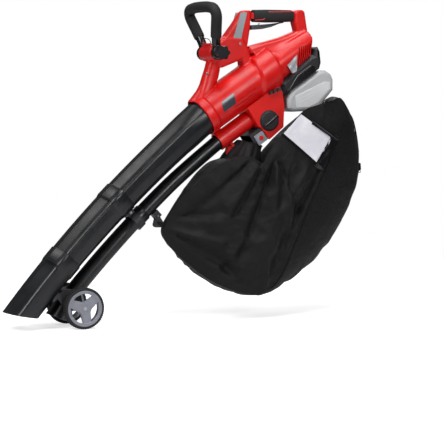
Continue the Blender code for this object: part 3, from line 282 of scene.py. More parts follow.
def pipe(outer, inner):
    # open pipe with a wall: both lists run the same way
    return loft(outer + inner[::-1], closed=True)


def angles(count, offset=0.0):
    return [2 * math.pi * (k + offset) / count for k in range(count)]


def squarish(a, power):
    # cosine and sine of an angle, drawn out towards a rounded square
    return [math.copysign(abs(v) ** power, v) for v in (math.cos(a), math.sin(a))]


def lathe(profile, centre, segments=48, closed=False):
    # turned about a line across the machine; profile holds (y, radius), and no radius closes to a point
    at, rings = place(*centre), []
    for y, radius in profile:
        r = max(radius, 0.00002)
        rings.append([at + Vector((r * math.cos(a), y, -r * math.sin(a))) for a in angles(segments)])
    return loft(rings, closed=closed)


def smoothPath(points, steps=8, closed=False):
    pts = [Vector(p) for p in points]
    n, out = len(pts), []
    for i in range(n if closed else n - 1):
        if closed:
            a, b, c, d = pts[i - 1], pts[i], pts[(i + 1) % n], pts[(i + 2) % n]
        else:
            b, c = pts[i], pts[i + 1]
            a = pts[i - 1] if i else b - (c - b)
            d = pts[i + 2] if i + 2 < n else c + (c - b)
        for k in range(steps):
            t = k / steps
            out.append(0.5 * ((2 * b) + (c - a) * t + (2 * a - 5 * b + 4 * c - d) * t * t
                              + (3 * b - a - 3 * c + d) * t ** 3))
    if not closed:
        out.append(pts[-1])
    return out


def sweep(points, radius, sides=12, closed=False):
    # round bar along points
    path = [Vector(p) for p in points]
    n, side, rings = len(path), None, []
    for i, point in enumerate(path):
        before = path[i - 1] if (closed or i) else path[i]
        after = path[(i + 1) % n] if (closed or i < n - 1) else path[i]
        tangent = (after - before).normalized()
        if side is None:
            side = Vector((0.0, 1.0, 0.0)) - tangent * tangent.y
            if side.length < 1e-4:
                side = tangent.orthogonal()
        side = (side - tangent * tangent.dot(side)).normalized()
        across = tangent.cross(side)
        rings.append([point + side * radius * math.cos(a) + across * radius * math.sin(a)
                      for a in angles(sides, 0.5)])
    return loft(rings, closed=closed)


def slab(outline, y0, y1):
    # outline of side-view points given a thickness along Y
    return loft([[place(x, z, y) for x, z in outline] for y in (y0, y1)])


def bevelEdges(piece, width, segments=2):
    made = piece.modifiers.new("softEdge", "BEVEL")
    made.width, made.segments = width, segments
    made.limit_method = "ANGLE"
    made.angle_limit = math.radians(32.0)
    made.harden_normals = False


def settle(piece):
    # applies every modifier
    bpy.context.view_layer.update()
    result = bpy.data.meshes.new_from_object(piece.evaluated_get(bpy.context.evaluated_depsgraph_get()))
    piece.modifiers.clear()
    old, piece.data = piece.data, result
    bpy.data.meshes.remove(old)


def castInOne(name, parts, voxel, smoothing, finish, **more):
    # fuses overlapping closed solids into one moulded skin with softened edges
    piece = makePiece(name, *joined(*parts), finish, sharp=None, **more)
    skin = piece.modifiers.new("fuse", "REMESH")
    skin.mode = "VOXEL"
    skin.voxel_size = voxel
    soften = piece.modifiers.new("soften", "SMOOTH")
    soften.factor, soften.iterations = 0.5, smoothing
    settle(piece)
    piece.data.materials.clear()
    piece.data.materials.append(finish)
    piece.data.shade_smooth()
    return piece


# camera, floor and light
studio = {
    "target": (0.0978, 0.0, 0.2643), "azimuth": 25.0, "drop": 4.4, "distance": 5.0875,
    "lens": 150.0, "floor": "#f4f3f6", "floorHalf": 2.5, "fade": (0.9, 2.4), "glow": 0.627, "world": 0.085,
    # each soft box: its place, side and power
    "boxes": {
        "softBoxLeft": ((-2.4, -1.4, 2.4), 1.2, 48.0),
        "softBoxTop": ((0.1, -0.7, 3.0), 1.4, 42.0),
        "softBoxRim": ((-1.5, 1.5, 2.9), 1.1, 13.0),
        "softBoxFront": ((0.6, -3.6, 1.8), 1.0, 46.0),
        "softBoxBack": ((1.2, 2.4, 2.2), 1.4, 14.0),
    },
}


def addToScene(name, data):
    made = bpy.data.objects.new(name, data)
    bpy.context.scene.collection.objects.link(made)
    return made


def makeCamera():
    azimuth, drop = math.radians(studio["azimuth"]), math.radians(studio["drop"])
    forward = Vector((math.sin(azimuth) * math.cos(drop), math.cos(azimuth) * math.cos(drop),
                      -math.sin(drop)))
    camera = addToScene("camera", bpy.data.cameras.new("camera"))
    camera.location = Vector(studio["target"]) - forward * studio["distance"]
    camera.rotation_euler = forward.to_track_quat("-Z", "Y").to_euler()
    camera.data.lens = studio["lens"]
    camera.data.sensor_width = 36.0
    camera.data.clip_end = 60.0
    bpy.context.scene.camera = camera


def makeFloor():
    # matt white board that fades out into the pale surround
    board = bpy.data.materials.new("mattWhiteBoard")
    board.use_nodes = True
    tree = board.node_tree
    shader = tree.nodes["Principled BSDF"]
    shader.inputs["Base Color"].default_value = toLinear(studio["floor"])
    shader.inputs["Roughness"].default_value = 0.9
    where = addNode(tree, "TexCoord")
    reach = addNode(tree, "VectorMath", {0: (where, "Object")}, operation="LENGTH")
    near, far = studio["fade"]
    fade = addNode(tree, "MapRange", {"Value": (reach, "Value"), "From Min": near, "From Max": far},
                   interpolation_type="SMOOTHSTEP")
    clear = addNode(tree, "BsdfTransparent")
    # only the eye sees the board's own glow; it throws none onto the machine
    glow = addNode(tree, "Emission", {"Color": white, "Strength": studio["glow"]})
    lit = addNode(tree, "AddShader", {0: (shader, 0), 1: (glow, 0)})
    sight = addNode(tree, "LightPath")
    seen = addNode(tree, "MixShader", {0: (sight, "Is Camera Ray"), 1: (shader, 0), 2: (lit, 0)})
    both = addNode(tree, "MixShader", {0: (fade, "Result"), 1: (seen, 0), 2: (clear, 0)})
    tree.links.new(both.outputs[0], tree.nodes["Material Output"].inputs["Surface"])
    mesh = bpy.data.meshes.new("floor")
    half = studio["floorHalf"]
    corners = ((-1, -1), (1, -1), (1, 1), (-1, 1))
    mesh.from_pydata([(half * x, half * y, -0.0002) for x, y in corners], [], [(0, 1, 2, 3)])
    mesh.materials.append(board)
    addToScene("floor", mesh)


def makeLight():
    # dim pale surround that the eye sees as white, and soft boxes
    world = bpy.data.worlds.new("paleSurround")
    world.use_nodes = True
    tree = world.node_tree
    dim = tree.nodes["Background"]
    dim.inputs["Color"].default_value = white
    dim.inputs["Strength"].default_value = studio["world"]
    seen = addNode(tree, "Background", {"Color": white, "Strength": 1.0})
    ray = addNode(tree, "LightPath")
    both = addNode(tree, "MixShader", {0: (ray, "Is Camera Ray"), 1: (dim, 0), 2: (seen, 0)})
    tree.links.new(both.outputs[0], tree.nodes["World Output"].inputs["Surface"])
    bpy.context.scene.world = world
    for name, (spot, side, power) in studio["boxes"].items():
        lamp = bpy.data.lights.new(name, "AREA")
        lamp.shape, lamp.size, lamp.energy = "SQUARE", side, power
        made = addToScene(name, lamp)
        made.location = spot
        aim = Vector(studio["target"]) - Vector(spot)
        made.rotation_euler = aim.to_track_quat("-Z", "Y").to_euler()
    bpy.context.scene.view_settings.view_transform = "Standard"


white = (1.0, 1.0, 1.0, 1.0)
makeCamera()
makeFloor()
makeLight()
print("studio and camera set")


# tubes
suctionTube = {
    "halfWidth": (0.051, 0.004, 0.004),    # at the barrel, change over the first bend, change to the nozzle
    "halfHeight": (0.0495, -0.0055, -0.006),
    "bend": 0.12,
    "wall": 0.0025,
    "upperEnd": 0.368, "lowerEnd": 0.592, "socket": 0.038,
    "step": 0.0022,                            # how far a socket stands out
    "mouthSlope": 11.0,
    "ringCount": 112,
}


def suctionHalf(d):
    share, rest = min(d / suctionTube["bend"], 1.0), d / machine["tubeLength"]
    return tuple(a + share * b + rest * c for a, b, c in (suctionTube["halfWidth"], suctionTube["halfHeight"]))


def sectionShape(w, h, crease):
    # round at the barrel; further down a narrow flat top, sloping shoulders and a crease on each side
    corners = [(0.0, -1.0), (0.5, -0.97), (0.86, -0.62), (0.985, -0.05), (1.0, 0.5), (0.8, 0.7),
               (0.32, 0.975), (0.28, 1.02), (0.0, 1.02)]
    corners += [(-x, z) for x, z in corners[-2:0:-1]]
    corners = [(x * w, z * h) for x, z in corners]
    count = suctionTube["ringCount"]
    radii = []
    for a in angles(count):
        c, s = math.cos(a), math.sin(a)
        best = 0.0
        for i, p in enumerate(corners):
            q = corners[(i + 1) % len(corners)]
            cross = c * (q[1] - p[1]) - s * (q[0] - p[0])
            if abs(cross) < 1e-9:
                continue
            r = (p[0] * (q[1] - p[1]) - p[1] * (q[0] - p[0])) / cross
            on = (p[0] * s - p[1] * c) / cross
            if r > 0 and -1e-6 <= on <= 1 + 1e-6:
                best = max(best, r)
        round_ = w * h / math.sqrt((h * c) ** 2 + (w * s) ** 2)
        radii.append(round_ * (1 - crease) + best * crease)
    radii = np.array(radii)
    soft = 0.25 * np.roll(radii, 1) + 0.5 * radii + 0.25 * np.roll(radii, -1)
    return [(r * math.cos(a), r * math.sin(a)) for a, r in zip(angles(count), soft)]


def suctionRing(d, grow=0.0):
    w, h = suctionHalf(d)
    crease = min(max((d - 0.01) / 0.07, 0.0), 1.0)
    return [alongTube(d, -t, y) for y, t in sectionShape(w + grow, h + grow, crease)]


def makeSuctionTube():
    wall, step, socket = suctionTube["wall"], suctionTube["step"], suctionTube["socket"]
    ends = (suctionTube["upperEnd"], suctionTube["lowerEnd"])
    body = [0.0045 + (ends[0] - 0.0045) * k / 16 for k in range(17)]
    upper = pipe([suctionRing(d) for d in body], [suctionRing(d, -wall) for d in body])
    makePiece("suctionTubeUpper", *upper, tubePolypropylene, replaces=["suction_tube_upper"])
    for name, node, at, spans in (
            ("suctionTubeLower", "suction_tube_lower", ends[0], [0.4, 0.44, 0.48, 0.52, 0.56, ends[1]]),
            ("suctionNozzle", "suction_nozzle", ends[1], [0.62, 0.65, 0.68, 0.705])):
        top = at - socket
        outer = [(top, step - 0.0008), (top + 0.0012, step), (at - 0.01, step), (at + 0.001, step),
                 (at + 0.004, step * 0.7), (at + 0.008, step * 0.15), (at + 0.011, 0.0)]
        inner = [(top, 0.0004), (at + 0.001, 0.0004), (at + 0.002, -wall)]
        outer += [(d, 0.0) for d in spans]
        inner += [(d, -wall) for d in spans]
        rings = [suctionRing(d, g) for d, g in outer], [suctionRing(d, g) for d, g in inner]
        if node == "suction_nozzle":
            for ring, grow in ((rings[0], 0.0), (rings[1], -wall)):
                w, h = suctionHalf(machine["tubeLength"])
                tilt = math.radians(suctionTube["mouthSlope"])
                stretch = 1.0 / math.sin(tubeSlope(machine["tubeLength"]) + tilt)
                middle = alongTube(machine["tubeLength"])
                for share in (0.5, 1.0):
                    points = []
                    straight = suctionRing(0.705, grow)
                    for k, (y, t) in enumerate(sectionShape(w + grow, h + grow, 1.0)):
                        lip = middle + Vector((-math.cos(tilt) * t * stretch, y, math.sin(tilt) * t * stretch))
                        points.append(straight[k].lerp(lip, share))
                    ring.append(points)
        makePiece(name, *pipe(*rings), tubePolypropylene, replaces=[node])
    # two shallow moulded lines round each socket
    for at in ends:
        for back in (0.0, 0.0065):
            d = at - back
            line = sweep(suctionRing(d, step + 0.0001), 0.0005, 6, closed=True)
            makePiece(f"socketLine{int(at * 1000)}_{int(back * 10000)}", *line, blackNylon, slotted=False)


blowerTube = {"radius": 0.0205, "drop": (0.084, 0.078), "joint": 0.352, "end": 0.695, "wall": 0.002,
              "socket": 0.038, "step": 0.0028, "ringCount": 48, "mouthSlope": 22.0, "mouth": (0.034, 0.02)}


def blowerDrop(d):
    first, last = blowerTube["drop"]
    return first + (last - first) * min(d / 0.2, 1.0)


def blowerRing(d, grow=0.0):
    # the section widens towards the outlet
    share = d / blowerTube["end"]
    w, h = blowerTube["radius"] + 0.007 * share + grow, blowerTube["radius"] + 0.0015 * share + grow
    return [alongTube(d, blowerDrop(d) - h * math.sin(a), w * math.cos(a)) for a in angles(blowerTube["ringCount"])]


def makeBlowerTube():
    wall, step, joint = blowerTube["wall"], blowerTube["step"], blowerTube["joint"]
    body = [0.012 + (joint - 0.012) * k / 14 for k in range(15)]
    makePiece("blowerTubeUpper", *pipe([blowerRing(d) for d in body], [blowerRing(d, -wall) for d in body]),
              tubePolypropylene, replaces=["blower_tube_upper"])
    top = joint - blowerTube["socket"]
    outer = [(top, step - 0.0008), (top + 0.0012, step), (joint + 0.004, step), (joint + 0.01, 0.0)]
    inner = [(top, 0.0004), (joint + 0.001, 0.0004), (joint + 0.002, -wall)]
    spans = [0.4, 0.44, 0.48, 0.52, 0.56, 0.6, 0.65]
    rings = ([blowerRing(d, g) for d, g in outer + [(d, 0.0) for d in spans]],
             [blowerRing(d, g) for d, g in inner + [(d, -wall) for d in spans]])
    tilt = math.radians(blowerTube["mouthSlope"])
    middle = alongTube(blowerTube["end"], blowerTube["drop"][1])
    for ring, grow in ((rings[0], 0.0), (rings[1], -wall)):
        straight = blowerRing(0.65, grow)
        for share in (0.35, 0.7, 1.0):
            points = []
            w, h = (size + grow for size in blowerTube["mouth"])
            for k, a in enumerate(angles(blowerTube["ringCount"])):
                y, t = w * squarish(a, 0.83)[0], h * math.sin(a)
                lip = middle + Vector((-math.cos(tilt) * t, y, math.sin(tilt) * t))
                points.append(straight[k].lerp(lip, share))
            ring.append(points)
    makePiece("blowerTubeLower", *pipe(*rings), tubePolypropylene,
              replaces=["blower_tube_lower"])
    for side in (-1, 1):
        # raised moulding seam along each side
        for first, last, tag in ((0.02, top - 0.002, "Upper"), (joint + 0.012, 0.64, "Lower")):
            points = []
            for k in range(24):
                d = first + (last - first) * k / 23
                w = blowerTube["radius"] + 0.007 * d / blowerTube["end"]
                points.append(alongTube(d, blowerDrop(d), side * w))
            makePiece(f"blowerSeam{tag}{'Left' if side < 0 else 'Right'}", *sweep(points, 0.0006, 8),
                      tubePolypropylene, slotted=False)


makeSuctionTube()
makeBlowerTube()
print("tubes lofted")


# housing
housing = {
    "voxel": 0.0014, "soften": 7,
    "collarRadius": 0.0575, "collarBore": 0.0535, "collarReach": 0.016,
    "barrelRadius": 0.0545, "barrelBore": 0.05,
    "drumRadius": 0.0612, "drumStart": 0.188, "drumEnd": 0.244, "drumSweep": 0.03,
    "pivot": (-0.032, 0.731), "headRadius": 0.023, "headHalf": 0.0378, "boltBore": 0.0043,
    "rearX": 0.2575,
    "grooveAngles": (76.0, 88.0, 100.0, 112.0), "grooveStart": 0.062, "grooveEnd": 0.16,
    "grooveWidth": 0.0026, "grooveDepth": 0.0022,
}


def fanRing(s, radius, sweepForward=0.0):
    # ring round the fan axis, its lower part swept towards the tubes; angle zero is at the top
    return [alongFan(s - sweepForward * (0.5 - 0.5 * math.cos(a)) ** 1.3, radius * math.cos(a), radius * math.sin(a))
            for a in angles(72)]


def fanTurned(profile):
    # closed turned solid on the fan axis from (s, radius, sweep) points
    return loft([fanRing(s, max(radius, 0.0002), *rest) for s, radius, *rest in profile])


def motorBody():
    # body behind the drum: broad at the axis, drawn up into a ridge that carries the rear post
    sections = [(0.205, 0.086, 0.046), (0.232, 0.0775, 0.0475), (0.257, 0.0685, 0.048),
                (0.303, 0.0535, 0.0475), (0.345, 0.0445, 0.0455), (0.375, 0.04, 0.0425)]
    rings = []
    for s, top, r in sections:
        # right half of the section, from its ridge to its foot
        half = [(0.0, top), (0.013, top - 0.0015), (0.0225, top * 0.72), (r * 0.7, r * 0.62),
                (r * 0.96, r * 0.2), (r * 0.99, -r * 0.2), (r * 0.8, -r * 0.66), (r * 0.42, -r * 0.95),
                (0.0, -r * 0.99)]
        outline = half + [(-y, t) for y, t in half[-2:0:-1]]
        ring = []
        for p in smoothPath([(y, t, 0.0) for y, t in outline], 4, closed=True):
            spot = alongFan(s, p[1], p[0])
            spot.x = min(spot.x, housing["rearX"] + machine["shiftX"] - 0.0012 * abs(p[1]) / 0.04)
            ring.append(spot)
        rings.append(ring)
    # two lengths that share a section; the rear one is clipped flat at the back
    return loft(rings[:5]), loft(rings[4:])


def strutBar():
    pairs = [((-0.099, 0.598), (-0.036, 0.596), 0.03), ((-0.088, 0.612), (-0.036, 0.612), 0.027),
             ((-0.075, 0.628), (-0.029, 0.629), 0.0225), ((-0.066, 0.645), (-0.021, 0.646), 0.0205),
             ((-0.06, 0.664), (-0.014, 0.662), 0.0195), ((-0.052, 0.686), (-0.009, 0.684), 0.0195),
             ((-0.046, 0.706), (-0.009, 0.704), 0.02), ((-0.044, 0.724), (-0.014, 0.722), 0.02)]
    rings = []
    for outer, inner, half in pairs:
        ring = []
        mid = Vector(((outer[0] + inner[0]) / 2, (outer[1] + inner[1]) / 2))
        arm = Vector(((inner[0] - outer[0]) / 2, (inner[1] - outer[1]) / 2))
        for a in angles(32):
            c, d = squarish(a, 0.85)
            p = mid + arm * c
            ring.append(place(p.x, p.y, half * d))
        rings.append(ring)
    return loft(rings)


def chamferedSlab(outline, half, chamfer):
    # block with chamfered long edges, from four stacked outlines
    def inset(amount):
        # moves every edge inwards by the amount
        out, n = [], len(outline)
        area = sum(outline[i][0] * outline[(i + 1) % n][1] - outline[(i + 1) % n][0] * outline[i][1]
                   for i in range(n))
        turn = 1.0 if area > 0 else -1.0
        for i in range(n):
            a, b, c = Vector(outline[i - 1]), Vector(outline[i]), Vector(outline[(i + 1) % n])
            u, v = (b - a).normalized(), (c - b).normalized()
            nu, nv = Vector((-u.y, u.x)) * turn, Vector((-v.y, v.x)) * turn
            bis = nu + nv
            bis = bis / max(bis.dot(nu), 0.3)
            out.append(tuple(b + bis * amount))
        return out

    small = inset(chamfer)
    rings = [[place(x, z, y) for x, z in ring] for ring, y in
             ((small, -half), (outline, -half + chamfer), (outline, half - chamfer), (small, half))]
    return loft(rings)


def frameParts():
    px, pz = housing["pivot"]
    bridge = [(-0.046, 0.712), (-0.03, 0.752), (0.002, 0.775), (0.055, 0.772), (0.074, 0.742),
              (0.084, 0.704), (0.078, 0.686), (0.056, 0.688), (0.0525, 0.7135), (-0.006, 0.691), (-0.016, 0.694)]
    pillar = [(-0.002, 0.768), (0.03, 0.809), (0.054, 0.842), (0.061, 0.848), (0.081, 0.848), (0.079, 0.8),
              (0.07, 0.745), (0.034, 0.738)]
    post = [(0.2235, 0.789), (0.215, 0.818), (0.214, 0.846), (0.224, 0.8515), (0.24, 0.8515), (0.2465, 0.846),
            (0.2555, 0.794), (0.2575, 0.76), (0.236, 0.752)]
    h = housing["headHalf"]
    endOn = [(h, 0.0), (h, 0.0205), (h - 0.003, housing["headRadius"]), (0.012, 0.0222)]
    head = lathe([(-y, r) for y, r in endOn] + endOn[::-1], (px, pz))
    ear = lathe([(-0.02, 0.0), (-0.02, 0.006), (0.02, 0.006), (0.02, 0.0)], (px - 0.012, pz + 0.021), 24)
    rib = [(0.076, 0.744), (0.118, 0.757), (0.17, 0.771), (0.2235, 0.79), (0.23, 0.778), (0.17, 0.752),
           (0.11, 0.735), (0.08, 0.73)]
    # solid rails that the grip sleeve wraps
    rail = [(0.074, 0.8245), (0.22, 0.8245), (0.22, 0.8415), (0.074, 0.8415)]
    return [strutBar(), chamferedSlab(bridge, 0.0195, 0.004), chamferedSlab(pillar, 0.0158, 0.003),
            chamferedSlab(post, 0.0175, 0.004), chamferedSlab(rib, 0.02, 0.004), head, ear,
            slab(rail, -0.0112, 0.0112)]


def barrelSolid():
    h = housing
    start, end, sweepBy, r, drum = h["drumStart"], h["drumEnd"], h["drumSweep"], h["barrelRadius"], h["drumRadius"]
    return fanTurned([
        (-h["collarReach"], 0.0), (-h["collarReach"], h["collarRadius"] - 0.001),
        (-h["collarReach"] + 0.001, h["collarRadius"]), (0.0075, h["collarRadius"]), (0.0085, r + 0.001),
        (0.01, r), (0.1, r), (start - 0.007, r, sweepBy), (start - 0.003, r + 0.0012, sweepBy),
        (start + 0.001, drum - 0.0012, sweepBy), (start + 0.005, drum, sweepBy),
        (end - 0.004, drum, sweepBy * 0.5), (end, drum - 0.0015, sweepBy * 0.5),
        (end + 0.002, 0.048, sweepBy * 0.5), (0.262, 0.044), (0.262, 0.0)])


def boreSolid():
    h = housing
    return fanTurned([(-0.03, 0.0), (-0.03, h["collarBore"]), (0.0, h["collarBore"]), (0.0, h["barrelBore"]),
                      (0.198, h["barrelBore"]), (0.198, 0.057), (0.229, 0.057), (0.229, 0.0113),
                      (0.235, 0.0113), (0.235, 0.04), (0.335, 0.04), (0.335, 0.0)])


def grooveBar(angle, s0, s1):
    # bar along the barrel at an angle from its top, sunk to the groove's depth
    a, r, deep, w = math.radians(angle), housing["barrelRadius"], housing["grooveDepth"], housing["grooveWidth"] / 2
    out, side = (math.cos(a), -math.sin(a)), (math.sin(a), math.cos(a))
    return loft([[alongFan(s, (r + v) * out[0] + u * side[0], (r + v) * out[1] + u * side[1])
                  for u, v in ((-w, -deep), (w, -deep), (w, 0.003), (-w, 0.003))] for s in (s0, s1)])


def seamRing(s, radius, width, deep, sweepBy=0.0):
    # square-sectioned ring that cuts a seam round the fan axis
    corners = ((-1, -deep), (-1, 0.004), (1, 0.004), (1, -deep))
    return loft([fanRing(s + along * width / 2, radius + out, sweepBy) for along, out in corners], closed=True)


def cutEach(piece, tools):
    # removes closed solids from a piece, one after the other
    for verts, faces in tools:
        tool = makePiece(piece.name + "Tool", verts, faces, piece.data.materials[0], slotted=False, sharp=None)
        cut = piece.modifiers.new("cut", "BOOLEAN")
        cut.operation, cut.solver, cut.object = "DIFFERENCE", "MANIFOLD", tool
        settle(piece)
        bpy.data.objects.remove(tool)


def sharpen(piece):
    piece.data.shade_smooth()
    piece.data.set_sharp_from_angle(angle=math.radians(40.0))


ventSlots = {"first": 0.2125, "pitch": 0.0068, "count": 6, "width": 0.003, "top": 0.757,
             "foot": 0.692, "rise": 0.6}


def ventSlab(k, y0, y1):
    # one slot, its foot following the motor cover's slope and its top stepping up to the rear
    x, w = ventSlots["first"] + ventSlots["pitch"] * k, ventSlots["width"]
    foot = ventSlots["foot"] + ventSlots["rise"] * (x - ventSlots["first"])
    top = ventSlots["top"] - 0.01 * (1 - k / 5)
    return slab([(x, foot), (x + w, foot + w * 0.6), (x + w, top + w * 0.6), (x, top)], y0, y1)


def makeHousing():
    shell = castInOne("housingShell", [barrelSolid(), *motorBody(), *frameParts()], housing["voxel"],
                      housing["soften"], redAbs, replaces=["housing_left", "housing_right"])
    px, pz = housing["pivot"]
    tools = [boreSolid(), seamRing(0.0125, housing["barrelRadius"], 0.002, 0.0016),
             seamRing(0.248, 0.048, 0.0022, 0.003, 0.015)]
    tools += [grooveBar(turn * a, housing["grooveStart"], housing["grooveEnd"] - 0.0006 * (a - 78))
              for turn in (1, -1) for a in housing["grooveAngles"]]
    bore = housing["boltBore"]
    tools += [slab([(px + bore * math.cos(a), pz + bore * math.sin(a)) for a in angles(24)], -0.06, 0.06)]
    tools += [ventSlab(k, side * 0.03, side * 0.075) for k in range(ventSlots["count"]) for side in (-1, 1)]
    cutEach(shell, tools)
    sharpen(shell)


makeHousing()
print("housing cast")


# leaf bag
leafBag = {
    "half": 0.086, "bulge": 0.098, "across": 260, "middle": (0.12, 0.3),
    "pipeRadius": 0.0022, "crumple": 0.007, "outerLimit": 0.104, "softening": 0.011,
    "panelSteps": 44, "gussetSteps": 30,
    "frontDepth": 0.014, "wrinkle": 0.004, "boundSeam": (15.2 / 28, 22.5 / 28),
}
bagEdge = [(-0.181, 0.252), (-0.143, 0.312), (-0.096, 0.373), (-0.035, 0.428), (0.022, 0.452), (0.066, 0.453),
           (0.098, 0.434), (0.112, 0.428), (0.134, 0.458), (0.176, 0.5), (0.222, 0.534), (0.27, 0.56),
           (0.312, 0.596), (0.35, 0.612), (0.38, 0.582), (0.402, 0.532), (0.425, 0.44), (0.412, 0.345),
           (0.366, 0.255), (0.312, 0.18), (0.243, 0.122), (0.185, 0.09), (0.132, 0.068), (0.086, 0.062),
           (0.03, 0.072), (-0.051, 0.108), (-0.115, 0.16), (-0.16, 0.208)]
nearEdge = [(-0.183, 0.25), (-0.146, 0.312), (-0.104, 0.368), (-0.05, 0.42), (0.0, 0.444), (0.04, 0.448),
            (0.068, 0.438), (0.084, 0.434), (0.104, 0.466), (0.138, 0.508), (0.176, 0.545), (0.21, 0.576),
            (0.252, 0.59), (0.3, 0.6), (0.342, 0.606), (0.338, 0.548), (0.3, 0.462), (0.27, 0.4),
            (0.236, 0.33), (0.206, 0.262), (0.178, 0.2), (0.152, 0.142), (0.12, 0.098), (0.08, 0.076),
            (0.02, 0.08), (-0.056, 0.112), (-0.118, 0.16), (-0.163, 0.206)]
farEdge = [(-0.176, 0.254), (-0.138, 0.312), (-0.086, 0.366), (-0.02, 0.418), (0.044, 0.44), (0.09, 0.44),
           (0.122, 0.424), (0.138, 0.418), (0.162, 0.446), (0.208, 0.492), (0.256, 0.536), (0.3, 0.57),
           (0.336, 0.588), (0.362, 0.578), (0.384, 0.548), (0.396, 0.5), (0.396, 0.436), (0.376, 0.35),
           (0.336, 0.268), (0.286, 0.2), (0.226, 0.144), (0.174, 0.108), (0.126, 0.088), (0.084, 0.08),
           (0.036, 0.09), (-0.04, 0.124), (-0.104, 0.172), (-0.15, 0.216)]


def closedCurve(points, count):
    # even walk round a smooth closed curve, starting at its first point
    smooth = smoothPath([(x, 0.0, z) for x, z in points], 12, closed=True)
    out = []
    for k in range(count):
        at = k * len(smooth) / count
        i = int(at)
        a, b = smooth[i % len(smooth)], smooth[(i + 1) % len(smooth)]
        p = a.lerp(b, at - i)
        out.append((p.x, p.z))
    return out


def ripple(p, scale, seed=0.0):
    return noise.noise(Vector((p.x / scale + seed, p.y / scale, p.z / scale)))


def ridged(p, scale, seed=0.0):
    # sharp-crested noise: one minus the size of the plain noise
    return 1.0 - 2.0 * abs(ripple(p, scale, seed))


def foldAlong(x, z, start, end, wide, fade=0.15):
    # height of one soft fold running between two points on the panel
    ax, az = start
    dx, dz = end[0] - ax, end[1] - az
    length = math.hypot(dx, dz)
    along = ((x - ax) * dx + (z - az) * dz) / length ** 2
    aside = ((x - ax) * -dz + (z - az) * dx) / length
    if along < -fade or along > 1 + fade:
        return 0.0
    ends = min(1.0, (along + fade) / fade, (1 + fade - along) / fade)
    spread = wide * (0.55 + 0.9 * max(min(along, 1.0), 0.0))
    return ends * math.exp(-(aside / spread) ** 2)


# sagging folds on the near and far panels: from, to, width, height
panelFolds = [
    ((0.11, 0.42), (0.02, 0.19), 0.012, -0.011), ((0.118, 0.42), (0.1, 0.2), 0.015, 0.009),
    ((0.13, 0.43), (0.19, 0.3), 0.011, -0.008), ((0.06, 0.425), (-0.05, 0.27), 0.014, 0.01),
    ((0.03, 0.425), (-0.1, 0.3), 0.01, -0.009), ((0.075, 0.43), (0.0, 0.3), 0.009, -0.008),
    ((-0.155, 0.25), (-0.04, 0.215), 0.012, 0.01), ((-0.15, 0.24), (-0.02, 0.15), 0.011, -0.008),
    ((-0.14, 0.29), (-0.04, 0.3), 0.01, -0.007), ((0.2, 0.4), (0.05, 0.15), 0.02, 0.011),
    ((0.245, 0.4), (0.12, 0.17), 0.013, -0.01), ((0.15, 0.4), (0.165, 0.25), 0.01, 0.006),
    ((0.02, 0.105), (-0.06, 0.2), 0.012, -0.007), ((0.09, 0.1), (0.08, 0.22), 0.013, 0.007),
    ((-0.06, 0.14), (0.03, 0.23), 0.014, 0.007), ((0.27, 0.54), (0.285, 0.45), 0.008, -0.004),
]


